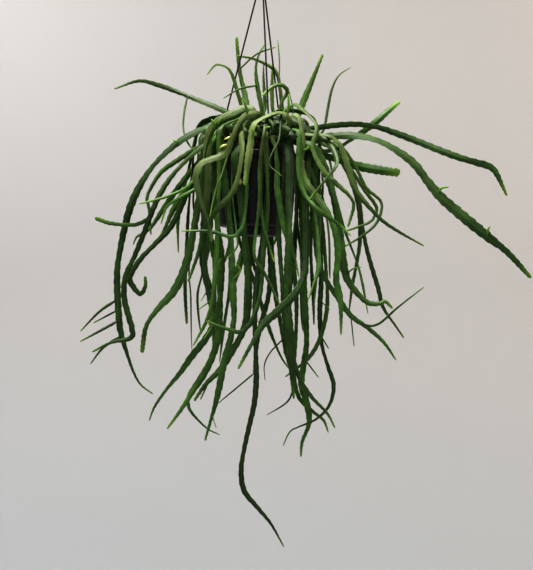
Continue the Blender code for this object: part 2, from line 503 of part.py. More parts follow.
class Plant:
    """Every stem's centre line as one long array of points, with what each point belongs to."""

    def __init__(self):
        self.names = []
        self.roots = []
        self.stems = []
        places = []
        luck = random.Random(SEED)
        free = root_places()
        for name, listed in SHOOTS.items():
            shoot = len(self.names)
            self.names.append(name)
            lines = [self.route_of(entry, luck) for entry in listed]
            wanted = Vector((lines[0][0].x * 0.8, lines[0][0].y * 0.8, 0))
            root = min(free, key=lambda place: (place.xy - wanted.xy).length)
            free.remove(root)
            self.roots.append(root)
            parent = None
            foot = root + Vector((0, 0, ROOT_STANDS * 0.65))
            for entry, line in zip(listed, lines):
                if entry[0] == "side":
                    curve = curve_through(line, SAMPLE_STEP)
                else:
                    rise = root + Vector((0, 0, ROOT_STANDS + 0.010))
                    curve = curve_through([foot, rise, *over_the_rim(line[0]), *line], SAMPLE_STEP)
                    foot = foot + Vector((0.0005, -0.0004, 0.0009))
                first = sum(len(part) for part in places)
                self.stems.append({"shoot": shoot, "kind": entry[0], "width": 0.001 * entry[1], "first": first,
                                   "count": len(curve), "parent": parent, "luck": luck.random()})
                if entry[0] != "side":
                    parent = len(self.stems) - 1
                places.append(curve)
        self.start = np.concatenate(places)
        self.place = self.start.copy()
        self.measure()

    def route_of(self, entry, luck):
        kind, _, numbers, pixels = entry
        if kind == "back":
            return falling_route(*numbers, luck)
        return photo_route(numbers, pixels)

    def measure(self):
        """Work out for each point its shoot, half width, how freely it moves, and its neighbours along the stem."""
        total = len(self.place)
        self.shoot = np.zeros(total, int)
        self.stem = np.zeros(total, int)
        self.gone = np.zeros(total)
        self.half = np.zeros(total)
        self.thick = np.zeros(total)
        self.freedom = np.ones(total)
        self.before = np.arange(total)
        self.after = np.arange(total)
        self.joins = []
        for number, entry in enumerate(self.stems):
            ids = np.arange(entry["first"], entry["first"] + entry["count"])
            self.shoot[ids] = entry["shoot"]
            self.stem[ids] = number
            self.gone[ids] = np.arange(len(ids)) * SAMPLE_STEP
            self.before[ids[1:]] = ids[:-1]
            self.after[ids[:-1]] = ids[1:]
            gone = np.arange(len(ids)) * SAMPLE_STEP
            left = gone[-1] - gone
            self.half[ids] = half_width(entry, gone, left)
            self.thick[ids] = half_thickness(entry, left)
            if entry["kind"] == "side":
                parent = self.stems[entry["parent"]]
                owners = np.arange(parent["first"], parent["first"] + parent["count"])
                near = owners[np.argmin(np.linalg.norm(self.start[owners] - self.start[ids[0]], axis=1))]
                self.joins.append((ids[0], near))
            else:
                self.freedom[ids] = np.clip((gone - 0.010) / 0.02, 0, 1)

    def axes(self):
        """Each point's direction along its stem, across its width, and out of its flat face."""
        along = self.place[self.after] - self.place[self.before]
        along /= np.linalg.norm(along, axis=1)[:, None]
        crown = np.clip((self.place[:, 2] - RIM_Z) / 0.08, 0, 1)
        face = np.stack([np.zeros(len(along)), -np.ones(len(along)), 1.1 * crown], axis=1)
        for entry in self.stems:
            ids = slice(entry["first"], entry["first"] + entry["count"])
            if entry["kind"] == "back":
                face[ids, :2] = self.place[ids, :2]
                face[ids, 2] = 0.03
        face = square_to(face, along)
        for _ in range(3):
            face = square_to(face + 0.5 * (face[self.before] + face[self.after]), along)
        across = np.cross(along, face)
        for entry in self.stems:
            ids = slice(entry["first"], entry["first"] + entry["count"])
            gone = np.arange(entry["count"]) * SAMPLE_STEP
            turn = 0.45 * np.sin(gone / 0.07 + 6.28 * entry["luck"])
            turn = turn[:, None]
            across[ids], face[ids] = (across[ids] * np.cos(turn) + face[ids] * np.sin(turn),
                                      face[ids] * np.cos(turn) - across[ids] * np.sin(turn))
        return along, across, face

    def near_pairs(self, reach):
        """Pairs of close points of different stems, but not where two stems of one shoot leave each other."""
        tree = KDTree(len(self.place))
        for number, place in enumerate(self.place):
            tree.insert(place, number)
        tree.balance()
        found = [(a, b) for a, place in enumerate(self.place) for _, b, _ in tree.find_range(place, reach)
                 if a < b and self.stem[a] != self.stem[b]]
        first, second = np.array(found).T
        clear = np.minimum(self.gone[first], self.gone[second]) > PARTING_LENGTH
        kept = clear | (self.shoot[first] != self.shoot[second])
        return first[kept], second[kept]

    def untangle(self):
        """Bend the stems of different shoots clear of each other, of the pot, of the soil and of the strands."""
        for turn in range(UNTANGLE_TURNS):
            if turn % 7 == 0:
                axes = self.axes()
                first, second = self.near_pairs(0.028)
            move = self.push_apart(first, second, axes)
            move += self.push_off_strands(axes[0])
            self.place += move * self.freedom[:, None]
            self.place += self.push_out_of_pot() * (self.freedom > 0)[:, None]
            self.keep_joined()
            shift = self.place - self.start
            easy = 0.5 * (shift[self.before] + shift[self.after]) - shift
            self.place += 0.3 * easy * self.freedom[:, None]
        self.choose_rings()
        for turn in range(SETTLE_TURNS):
            if turn % 7 == 0:
                axes = self.axes()
                one, other = self.near_chords()
            sums = np.zeros_like(self.place)
            weights = np.full(len(self.place), 1e-9)
            self.part_chords(one, other, axes, sums, weights)
            move = self.push_off_strands(axes[0])
            move += self.push_out_of_pot() * (self.freedom > 0.3)[:, None]
            pushed = np.linalg.norm(move, axis=1) > 1e-7
            for ring, share in ((self.ring_before, 1 - self.share), (self.ring_after, self.share)):
                gather(sums, weights, ring, share * pushed, move)
            self.place += sums / weights[:, None] * self.freedom[:, None]
            start, end = self.place[self.ring_before], self.place[self.ring_after]
            self.place = start + (end - start) * self.share[:, None]
            self.keep_joined()

    def keep_joined(self):
        """Keep side shoots on their stems, and round every place so that each run gives the same plant."""
        for child, owner in self.joins:
            self.place[child] = self.place[owner]
        self.place = np.round(self.place, 8)

    def choose_rings(self):
        """Choose the points that get a ring, and note where each other point lies between two of them."""
        total = len(self.place)
        self.ring_before = np.arange(total)
        self.ring_after = np.arange(total)
        self.share = np.zeros(total)
        chords = []
        for entry in self.stems:
            entry["rings"] = ring_places(self, entry)
            for start, end in zip(entry["rings"], entry["rings"][1:]):
                chords.append((start, end))
                between = np.arange(start, end)
                self.ring_before[between] = start
                self.ring_after[between] = end
                self.share[between] = (between - start) / (end - start)
        self.chords = np.array(chords)

    def near_chords(self):
        """Pairs of straight lengths of different stems that come close, but not where one shoot's stems part."""
        start, end = self.chords.T
        middle = (self.place[start] + self.place[end]) / 2
        tree = KDTree(len(middle))
        for number, place in enumerate(middle):
            tree.insert(place, number)
        tree.balance()
        found = [(a, b) for a, place in enumerate(middle) for _, b, _ in tree.find_range(place, 0.05)
                 if a < b and self.stem[start[a]] != self.stem[start[b]]]
        one, other = np.array(found).T
        apart, along_one, along_other = self.apart(one, other)
        gone_one = self.gone[start[one]] + along_one * (self.gone[end[one]] - self.gone[start[one]])
        gone_other = self.gone[start[other]] + along_other * (self.gone[end[other]] - self.gone[start[other]])
        clear = np.minimum(gone_one, gone_other) > PARTING_LENGTH
        clear |= self.shoot[start[one]] != self.shoot[start[other]]
        kept = clear & (np.linalg.norm(apart, axis=1) < 0.022)
        return one[kept], other[kept]

    def apart(self, one, other):
        """From each pair's second length to its first where they come closest, and how far along each that is."""
        start, end = self.place[self.chords[:, 0]], self.place[self.chords[:, 1]]
        way_one, way_other = end[one] - start[one], end[other] - start[other]
        between = start[one] - start[other]
        long_one, long_other, turned_with = dot(way_one, way_one), dot(way_other, way_other), dot(way_one, way_other)
        slant = np.maximum(long_one * long_other - turned_with ** 2, 1e-14)
        reach_one, reach_other = dot(way_one, between), dot(way_other, between)
        along_one = np.clip((turned_with * reach_other - long_other * reach_one) / slant, 0, 1)
        along_other = np.clip((turned_with * along_one + reach_other) / long_other, 0, 1)
        along_one = np.clip((turned_with * along_other - reach_one) / long_one, 0, 1)
        apart = between + way_one * along_one[:, None] - way_other * along_other[:, None]
        return apart, along_one, along_other

    def part_chords(self, one, other, axes, sums, weights):
        """Add up how the rings must move to part the pairs of straight lengths that come too close."""
        apart, along_one, along_other = self.apart(one, other)
        distance = np.linalg.norm(apart, axis=1)
        way = apart / np.maximum(distance, 1e-6)[:, None]
        need = SPARE_ROOM + self.chord_reach(one, along_one, way, axes) + self.chord_reach(other, along_other, way, axes)
        push = np.minimum(np.maximum(need - distance, 0) * 0.6, 0.002)
        used = push > 0
        for chords, share, sign in ((one, along_one, 1), (other, along_other, -1)):
            moves = way[used] * (sign * push[used])[:, None]
            gather(sums, weights, self.chords[chords[used], 0], 1 - share[used], moves)
            gather(sums, weights, self.chords[chords[used], 1], share[used], moves)

    def chord_reach(self, chords, share, way, axes):
        """How far a straight length reaches in this direction, at this share of its way along."""
        _, across, face = axes
        reach = 0
        for end, part in ((0, 1 - share), (1, share)):
            ids = self.chords[chords, end]
            wide = np.abs(dot(way, across[ids])) * self.half[ids] * (1 + CRENATION)
            reach = reach + part * np.maximum(wide, np.abs(dot(way, face[ids])) * self.thick[ids])
        return reach

    def push_apart(self, first, second, axes):
        apart = self.place[first] - self.place[second]
        distance = np.linalg.norm(apart, axis=1)
        way = apart / np.maximum(distance, 1e-6)[:, None]
        need = self.reach_toward(first, way, axes) + self.reach_toward(second, way, axes) + SPARE_ROOM
        crown = np.clip((self.place[first, 2] - RIM_Z) / 0.03, 0, 1)[:, None]
        lean = way * ((1 - crown) * (0.4, 1.0, 0.4) + crown * (0.7, 0.7, 1.0))
        lean[:, 1] += np.where(way[:, 1] >= 0, 0.15, -0.15)
        lean /= np.linalg.norm(lean, axis=1)[:, None]
        push = np.maximum(need - distance, 0)[:, None] * lean * 0.5
        share = self.freedom[first] / np.maximum(self.freedom[first] + self.freedom[second], 1e-6)
        move = np.zeros_like(self.place)
        np.add.at(move, first, push * share[:, None])
        np.add.at(move, second, -push * (1 - share)[:, None])
        return np.clip(move, -0.003, 0.003)

    def reach_toward(self, ids, way, axes):
        """How far a short length of stem reaches in this direction."""
        along, across, face = axes
        return (np.abs(np.sum(way * across[ids], axis=1)) * self.half[ids]
                + np.abs(np.sum(way * face[ids], axis=1)) * self.thick[ids]
                + np.abs(np.sum(way * along[ids], axis=1)) * SAMPLE_STEP * 0.6)

    def push_off_strands(self, along):
        """Push each point that passes close to a strand square to both the strand and its own stem."""
        move = np.zeros_like(self.place)
        for angle in STRAND_ANGLES:
            low, high = (np.array(end) for end in strand_ends(angle))
            length = np.linalg.norm(high - low)
            up = (high - low) / length
            from_low = self.place - low
            off = from_low - np.clip(from_low @ up, 0, length)[:, None] * up
            distance = np.linalg.norm(off, axis=1)
            way = np.cross(along, up)
            slant = np.linalg.norm(way, axis=1)
            way = np.where(slant[:, None] > 0.35, way / np.maximum(slant, 1e-6)[:, None],
                           off / np.maximum(distance, 1e-6)[:, None])
            away = np.sum(off * way, axis=1)
            need = self.half + STRAND_RADIUS + 0.002
            short = np.where(distance < need + 0.008, np.maximum(need - np.abs(away), 0), 0)
            move += (short * np.where(away < 0, -0.5, 0.5))[:, None] * way
        return move

    def push_out_of_pot(self):
        flat = np.linalg.norm(self.place[:, :2], axis=1)
        height = self.place[:, 2]
        room = self.half + 0.0028
        top = np.where(flat < WALL_TOP_RADIUS - POT_WALL, soil_height(flat), RIM_Z)
        top = np.maximum(top, np.where(flat > WALL_TOP_RADIUS - 0.012, RIM_Z, -9))
        down = np.clip((RIM_Z - LIP_HEIGHT - 0.004 - height) / 0.01, 0, 1)
        edge = RIM_RADIUS + 0.0005 - down * (RIM_RADIUS - WALL_TOP_RADIUS)
        edge = np.where(height < POT_BOTTOM_Z - room, SAUCER_RADIUS, edge)
        low = SAUCER_BOTTOM_Z - room
        inside = (flat < edge + room) & (height < top + room) & (height > low)
        up = top + room - height
        out = edge + room - flat
        lift = inside & ((up < out) | (flat < WALL_TOP_RADIUS - 0.012)) & (up < 0.06)
        move = np.zeros_like(self.place)
        move[:, 2] = np.where(lift, np.minimum(up, 0.004), 0)
        spread = inside & ~lift
        move[:, :2] = np.where(spread, np.minimum(out, 0.006), 0)[:, None] * self.place[:, :2] / flat[:, None]
        return move


def dot(one, other):
    return np.sum(one * other, axis=1)


def gather(sums, weights, ids, share, moves):
    """Add each move to its ring's sum, as much as the ring has a share in it."""
    np.add.at(sums, ids, moves * share[:, None])
    np.add.at(weights, ids, share)


def half_width(entry, gone, left):
    """Half the stem's width by how far it has gone and how much is left: narrow foot, joints, tapered tip."""
    whole = entry["width"] / 2
    foot = 1.0 if entry["kind"] == "side" else 0.42
    foot_share = np.clip(foot + (1 - foot) * gone / 0.07, 0, 1)
    if entry["kind"] == "side":
        foot_share = np.clip(0.55 + gone / 0.03, 0, 1)
    tip_share = np.clip(0.34 + 0.66 * left / 0.055, 0, 1)
    joint = 1 - 0.3 * np.exp(-(((gone + 0.17 * entry["luck"]) % 0.17 - 0.085) / 0.011) ** 2)
    return np.maximum(whole * foot_share * tip_share * joint, 0.0008)


def half_thickness(entry, left):
    most = min(STEM_THICKNESS / 2, 0.42 * entry["width"])
    return np.maximum(most * np.clip(0.5 + left / 0.03, 0, 1), 0.0006)


def square_to(face, along):
    face = face - np.sum(face * along, axis=1)[:, None] * along
    length = np.linalg.norm(face, axis=1)
    weak = length < 1e-3
    face[weak] = np.cross(along[weak], (1.0, 0.0, 0.0))
    return face / np.linalg.norm(face, axis=1)[:, None]


def strand_ends(angle):
    """Where a strand's lower and upper end stand, for its angle round the pot."""
    way = math.radians(angle)
    out = Vector((math.cos(way), math.sin(way), 0))
    return out * STRAND_SEAT_RADIUS + Vector((0, 0, RIM_Z)), out * 0.0045 + Vector((0, 0, HUB_Z))


def ring_places(plant, entry):
    """The points of the centre line that get a ring: evenly spread, with one more at each sharp bend."""
    last = entry["first"] + entry["count"] - 1
    even = [*range(entry["first"], last - RING_EVERY // 2, RING_EVERY), last]
    places = [even[0]]
    for start, end in zip(even, even[1:]):
        middle = (start + end) // 2
        one = Vector(plant.place[middle] - plant.place[start])
        two = Vector(plant.place[end] - plant.place[middle])
        if middle > start and one.angle(two) > SHARP_BEND:
            places.append(middle)
        places.append(end)
    return places


def stem_mesh(plant, entry, axes):
    """A strap with alternate notches on its edges: a straight prism, cut into rings and laid along its route."""
    _, across, face = axes
    ids = entry["rings"]
    thin = entry["width"] < THIN_STEM
    shape = bmesh.new()
    bmesh.ops.create_cone(shape, cap_ends=True, segments=3 if thin else 4, radius1=1, radius2=1, depth=1)
    upright = [edge for edge in shape.edges if abs(edge.verts[0].co.z - edge.verts[1].co.z) > 0.5]
    bmesh.ops.subdivide_edges(shape, edges=upright, cuts=len(ids) - 2)
    for vert in shape.verts:
        ring = round((vert.co.z + 0.5) * (len(ids) - 1))
        at = ids[ring]
        notch = 0 if thin or ring in (0, len(ids) - 1) else CRENATION * (1 if ring % 2 else -1)
        wide = vert.co.x * plant.half[at] * (1 + math.copysign(notch, notch * vert.co.x))
        deep = vert.co.y * plant.thick[at]
        vert.co = plant.place[at] - across[at] * wide + face[at] * deep
    return shape


def keep_largest_body(mesh):
    """Drop loose scraps, and the faces of hollows that joining has sealed, so that one solid body is left."""
    shape = bmesh.new()
    shape.from_mesh(mesh)
    bodies = []
    unseen = set(shape.faces)
    while unseen:
        body = set()
        front = {unseen.pop()}
        while front:
            body |= front
            shared = [edge for face in front for edge in face.edges if len(edge.link_faces) == 2]
            front = {face for edge in shared for face in edge.link_faces} - body
        unseen -= body
        bodies.append(body)
    largest = max(bodies, key=len)
    loose = [face for body in bodies if body is not largest for face in body]
    bmesh.ops.delete(shape, geom=loose, context="FACES")
    shape.to_mesh(mesh)
    shape.free()


def join_pieces(made, pieces, solver="EXACT"):
    """One Boolean union of the object with every object of the collection, applied, and the pieces removed."""
    union = made.modifiers.new("join", "BOOLEAN")
    union.operation = "UNION"
    union.operand_type = "COLLECTION"
    union.collection = pieces
    union.solver = solver
    bpy.context.view_layer.update()
    graph = bpy.context.evaluated_depsgraph_get()
    joined = bpy.data.meshes.new_from_object(made.evaluated_get(graph))
    made.modifiers.clear()
    made.data = joined
    keep_largest_body(joined)
    for piece in list(pieces.objects):
        bpy.data.objects.remove(piece, do_unlink=True)
    bpy.data.collections.remove(pieces)


def build_shoots(plant, paint, collection):
    axes = plant.axes()
    for number, name in enumerate(plant.names):
        root = plant.roots[number]
        stub = prism(6, ROOT_RADIUS, -ROOT_DEPTH, ROOT_STANDS)
        bmesh.ops.translate(stub, vec=root, verts=stub.verts)
        made = add_object(name, mesh_from(name, stub), paint, collection)
        pieces = new_collection("pieces of " + name)
        for entry in plant.stems:
            if entry["shoot"] == number:
                add_object(name + " piece", mesh_from(name, stem_mesh(plant, entry, axes)), paint, pieces)
        join_pieces(made, pieces, "MANIFOLD")


def build_pot(paint, collection, cutters):
    bottom = POT_BOTTOM_Z
    lip = LIP_HEIGHT
    inner = WALL_TOP_RADIUS - POT_WALL
    profile = [
        (RIM_RADIUS - 0.0008, RIM_Z),
        (RIM_RADIUS, RIM_Z - 0.0008),
        (RIM_RADIUS, RIM_Z - lip),
        (RIM_RADIUS - 0.0018, RIM_Z - lip),
        (RIM_RADIUS - 0.0020, RIM_Z - 0.0026),
        (WALL_TOP_RADIUS, RIM_Z - 0.0028),
        (WALL_BOTTOM_RADIUS + 0.0010, bottom + 0.009),
        (WALL_BOTTOM_RADIUS - 0.0015, bottom + 0.003),
        (WALL_BOTTOM_RADIUS - 0.0060, bottom),
        (0, bottom),
    ]
    inside = [
        (0, bottom + POT_WALL),
        (WALL_BOTTOM_RADIUS - 0.0070, bottom + POT_WALL),
        (WALL_BOTTOM_RADIUS - 0.0033, bottom + 0.0042),
        (inner_wall(bottom + 0.0100), bottom + 0.0100),
        (inner, RIM_Z - 0.0028),
        (inner, RIM_Z - 0.0004),
        (inner + 0.0006, RIM_Z),
        (RIM_RADIUS - 0.0008, RIM_Z),
    ]
    pot = turned("pot", profile + inside, 32, paint, collection)
    bpy.context.view_layer.update()
    shell = bpy.data.meshes.new_from_object(pot.evaluated_get(bpy.context.evaluated_depsgraph_get()))
    pot.modifiers.clear()
    pot.data = shell
    sockets = new_collection("pot sockets")
    for number, angle in enumerate(STRAND_ANGLES, 1):
        low, high = strand_ends(angle)
        up = (high - low).normalized()
        rod_between(f"socket_{number}", low - up * 0.0015, low + up * 0.009, 0.0034, 12, paint, sockets)
    join_pieces(pot, sockets)
    for number, angle in enumerate(STRAND_ANGLES, 1):
        low, high = strand_ends(angle)
        up = (high - low).normalized()
        start = low + up * (0.0022 - GAP)
        rod_between(f"socket_bore_{number}", start, low + up * 0.014, STRAND_RADIUS + GAP, 10, paint, cutters)
    for number in range(6):
        way = math.radians(60 * number + 30)
        hole = add_object(f"drain_{number}", mesh_from("drain", prism(10, 0.0035, -0.004, 0.006)), paint, cutters)
        hole.location = (DRAIN_CIRCLE * math.cos(way), DRAIN_CIRCLE * math.sin(way), bottom)
    peg = add_object("peg_hole", mesh_from("peg_hole", prism(12, 0.0046 + GAP, -0.004, 0.006)), paint, cutters)
    peg.location = (0, 0, bottom)
    hide(cutters)
    cut(pot, cutters)
    return pot


def hide(collection):
    collection.hide_render = True
    for cutter in collection.objects:
        cutter.hide_render = True
        cutter.display_type = "WIRE"


def cut(made, cutters):
    taken = made.modifiers.new("holes", "BOOLEAN")
    taken.operation = "DIFFERENCE"
    taken.operand_type = "COLLECTION"
    taken.collection = cutters
    taken.solver = "EXACT"


def build_saucer(paint, collection):
    """The drip saucer below the pot, held by a peg through the pot's middle hole."""
    top = POT_BOTTOM_Z - GAP
    low = SAUCER_BOTTOM_Z
    profile = [
        (0, top + 0.0042),
        (0.0040, top + 0.0042),
        (0.0046, top + 0.0036),
        (0.0046, low + 0.0020),
        (SAUCER_RADIUS - 0.0060, low + 0.0020),
        (SAUCER_RADIUS - 0.0020, top),
        (SAUCER_RADIUS - 0.0005, top),
        (SAUCER_RADIUS, top - 0.0005),
        (SAUCER_RADIUS - 0.0010, low + 0.0030),
        (SAUCER_RADIUS - 0.0030, low),
        (0, low),
    ]
    return turned("saucer", profile, 24, paint, collection)


def build_soil(plant, paint, collection, cutters):
    """The mound of soil that fills the pot, with a plain six-sided hole for every root."""
    edge = inner_wall(RIM_Z - SOIL_EDGE_DROP) - GAP
    bottom = POT_BOTTOM_Z + POT_WALL + GAP
    crown = [(edge * share, soil_height(edge * share)) for share in (0, 0.2, 0.4, 0.6, 0.8, 1)]
    body = [
        (WALL_BOTTOM_RADIUS - 0.0010 - GAP, POT_BOTTOM_Z + 0.0100),
        (WALL_BOTTOM_RADIUS - 0.0037 - GAP, POT_BOTTOM_Z + 0.0046),
        (WALL_BOTTOM_RADIUS - 0.0074 - GAP, bottom),
        (0, bottom),
    ]
    soil = turned("soil", crown + body, 24, paint, collection)
    peg = prism(12, 0.0046 + 2 * GAP, -0.01, 0.0042 + 0.0006)
    middle = add_object("peg_room", mesh_from("peg_room", peg), paint, cutters)
    middle.location = (0, 0, POT_BOTTOM_Z - GAP)
    for name, root in zip(plant.names, plant.roots):
        shape = prism(6, ROOT_RADIUS + GAP * 1.3, -ROOT_DEPTH - GAP, 0.03)
        hole = add_object("hole for " + name, mesh_from("hole", shape), paint, cutters)
        hole.location = root
    hide(cutters)
    cut(soil, cutters)
    return soil


def hook_route():
    """The hook's rod in its own plane: the open end, over the saddle, and back onto the axis above the hub."""
    middle = Vector((0, 0, -HOOK_MOUTH_RADIUS))
    radius = HOOK_MOUTH_RADIUS + HOOK_ROD_RADIUS
    route = []
    for degrees in range(215, -36, -14):
        way = math.radians(degrees)
        route.append(middle + Vector((radius * math.cos(way), 0, radius * math.sin(way))))
    return [*route, Vector((0.0050, 0, -0.0272)), Vector((0.0012, 0, -0.0315)), Vector((0, 0, HUB_Z + 0.006))]


def build_hook(paint, collection, cutters):
    """The moulded hook and the hub below it, which the three strands plug into from below."""
    data = bpy.data.curves.new("hook", "CURVE")
    data.dimensions = "3D"
    data.bevel_depth = HOOK_ROD_RADIUS
    data.bevel_resolution = 1
    data.use_fill_caps = True
    route = hook_route()
    line = data.splines.new("POLY")
    line.points.add(len(route) - 1)
    for point, place in zip(line.points, route):
        point.co = (*place, 1)
    bent = bpy.data.objects.new("bent rod", data)
    collection.objects.link(bent)
    bpy.context.view_layer.update()
    mesh = bpy.data.meshes.new_from_object(bent.evaluated_get(bpy.context.evaluated_depsgraph_get()))
    shape = bmesh.new()
    shape.from_mesh(mesh)
    bmesh.ops.remove_doubles(shape, verts=shape.verts, dist=0.00001)
    bmesh.ops.recalc_face_normals(shape, faces=shape.faces)
    shape.to_mesh(mesh)
    shape.free()
    bpy.data.objects.remove(bent, do_unlink=True)
    hook = add_object("hook", mesh, paint, collection)
    pieces = new_collection("hook pieces")
    hub = bmesh.new()
    bmesh.ops.create_cone(hub, cap_ends=True, segments=16, radius1=HUB_RADIUS, radius2=HUB_RADIUS * 0.62, depth=0.014)
    hub_object = add_object("hub", mesh_from("hub", hub), paint, pieces)
    hub_object.location = (0, 0, HUB_Z + 0.003)
    join_pieces(hook, pieces)
    for number, angle in enumerate(STRAND_ANGLES, 1):
        low, high = strand_ends(angle)
        up = (high - low).normalized()
        rod_between(f"hub_bore_{number}", high - up * 0.012, high + up * GAP, STRAND_RADIUS + GAP, 10, paint, cutters)
    hide(cutters)
    cut(hook, cutters)
    return hook


def build_strands(paint, collection):
    for number, angle in enumerate(STRAND_ANGLES, 1):
        low, high = strand_ends(angle)
        up = (high - low).normalized()
        rod_between(f"strand_{number}", low + up * 0.0022, high, STRAND_RADIUS, 8, paint, collection)


def main():
    empty_scene()
    parts = new_collection("lepismium_bolivianum")
    plastic = material("black plastic", (0.012, 0.012, 0.013), 0.42)
    earth = material("dark peat soil", (0.018, 0.012, 0.009), 0.95)
    green = material("cactus stem", (0.070, 0.150, 0.028), 0.45)
    plant = Plant()
    plant.untangle()
    build_pot(plastic, parts, new_collection("pot cutters"))
    build_saucer(plastic, parts)
    build_soil(plant, earth, parts, new_collection("soil cutters"))
    build_hook(plastic, parts, new_collection("hook cutters"))
    build_strands(plastic, parts)
    build_shoots(plant, green, parts)


main()
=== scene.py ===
"""The finished look of a strap-stemmed epiphytic cactus in its black hanging pot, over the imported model."""

import json
import math
import random

import bmesh
import bpy
import numpy as np
from mathutils import Matrix, Vector, noise
from mathutils.kdtree import KDTree

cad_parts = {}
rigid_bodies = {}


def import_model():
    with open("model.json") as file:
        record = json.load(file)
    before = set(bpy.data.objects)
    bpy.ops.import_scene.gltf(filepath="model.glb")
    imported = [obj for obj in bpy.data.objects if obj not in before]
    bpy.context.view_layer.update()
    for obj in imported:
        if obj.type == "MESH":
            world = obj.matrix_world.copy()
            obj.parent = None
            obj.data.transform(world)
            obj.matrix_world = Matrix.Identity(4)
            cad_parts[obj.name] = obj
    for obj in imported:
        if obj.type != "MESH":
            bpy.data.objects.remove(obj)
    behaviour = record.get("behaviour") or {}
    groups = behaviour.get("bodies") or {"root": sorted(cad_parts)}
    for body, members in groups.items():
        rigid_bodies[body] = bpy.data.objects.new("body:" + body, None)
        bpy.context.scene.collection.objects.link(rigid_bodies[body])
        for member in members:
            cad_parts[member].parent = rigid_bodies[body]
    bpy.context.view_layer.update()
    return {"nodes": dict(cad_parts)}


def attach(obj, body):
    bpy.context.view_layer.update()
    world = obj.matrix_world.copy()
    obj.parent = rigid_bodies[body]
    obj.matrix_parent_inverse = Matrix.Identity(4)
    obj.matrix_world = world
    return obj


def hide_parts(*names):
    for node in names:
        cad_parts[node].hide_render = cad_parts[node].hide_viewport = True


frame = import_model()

# Driving dimensions of the pot and its hanger
RIM_RADIUS = 0.075
RIM_Z = -0.335
POT_HEIGHT = 0.124
POT_WALL = 0.0018
LIP_HEIGHT = 0.010
WALL_TOP_RADIUS = 0.0705
WALL_BOTTOM_RADIUS = 0.063
SAUCER_RADIUS = 0.043
SAUCER_HEIGHT = 0.0135
STRAND_RADIUS = 0.0014
STRAND_ANGLES = (-72.0, 48.0, 168.0)
STRAND_SEAT_RADIUS = 0.0722
STRAND_SEAT_RISE = 0.0022
HUB_Z = -0.045
HUB_RADIUS = 0.0085
HOOK_ROD_RADIUS = 0.0023
HOOK_MOUTH_RADIUS = 0.013
HUB_LENGTH = 0.014
GAP = 0.0003

# Soil and the places where shoots stand in it
SOIL_EDGE_DROP = 0.008
SOIL_EDGE_Z = RIM_Z - SOIL_EDGE_DROP
SOIL_RISE = 0.046
ROOT_SPREAD = 0.058
ROOT_PLACES = 54
GOLDEN_ANGLE = math.radians(137.508)
ROOT_RADIUS = 0.0026
ROOT_DEPTH = 0.009
ROOT_STANDS = 0.007
PEG_HOLLOW_RADIUS = 0.0052
PEG_HOLLOW_HEIGHT = 0.0045
CRUMBS = 620
SURFACE_ROOTS = 46
ROOT_STRIDE = 0.0045
MOUND_RINGS = 44
MOUND_SIDES = 120

# Stems: their section, and how they leave the crown
STEM_THICKNESS = 0.0024
THIN_STEM = 0.0050
LEAST_HALF = 0.0008
JOINT_LENGTH = 0.17
CRENATION = 0.13
CROWN_RADIUS = 0.045
ARCH_HEIGHT = 0.045
SHOULDER_HEIGHT = 0.022

# How the stems' lines are sampled, given rings and untangled
SAMPLE_STEP = 0.009
RING_EVERY = 4
SHARP_BEND = math.radians(19)
SPARE_ROOM = 0.0012
PARTING_LENGTH = 0.035
UNTANGLE_TURNS = 200
SETTLE_TURNS = 140
LOOK_AGAIN = 7
NEAR_POINTS = 0.028
NEAR_CHORDS = 0.05
CHORD_GAP = 0.022
EASE_BACK = 0.3
POT_CLEARANCE = 0.0028
STRAND_CLEARANCE = 0.002
RIM_SHELF = 0.012
SEED = 11

# How the photograph sees the plant: its pixels, its scale at the pot's axis, and its slight lean
RIM_IN_PHOTO = (256.6, 155.0)
PHOTO_CENTRE = (266.5, 285.0)
METRES_PER_PIXEL = 0.001705
CAMERA_AWAY = 1.70
PHOTO_LEAN = math.radians(1.8)

POT_BOTTOM_Z = RIM_Z - POT_HEIGHT
SAUCER_BOTTOM_Z = POT_BOTTOM_Z - GAP - SAUCER_HEIGHT

# Fine stems: steps along them, the round of a tip, the depth of the notches, and how proud the midrib stands
FINE_STEP = 0.0023
TIP_ROUNDING = 0.0042
NOTCH_DEPTH = 0.17
KEEL_PROUD = 1.6
EXTRA_TURN = 0.2
JOINT_WAIST = 0.26
WIDTH_SEEN = 1.06
WIDE_SECTION = [(1.0, 0.0), (0.93, 0.20), (0.55, 0.46), (0.14, 0.90), (0.0, 1.0)]
THIN_SECTION = [(1.0, 0.0), (0.62, 0.70), (0.0, 1.0)]
WIDE_SIDES = 4 * (len(WIDE_SECTION) - 1)
THIN_SIDES = 4 * (len(THIN_SECTION) - 1)
EDGE_OFFSETS = (0.0, 0.5)
AREOLE_RADIUS = 0.00055
AREOLES_FROM = 0.03
WOODY_LENGTH = 0.035
TIP_STEPS = 6

# What the stems' material reads at each corner
FACTS = ("across", "from_foot", "to_tip", "luck", "olive", "fresh", "shade", "woody", "felt")

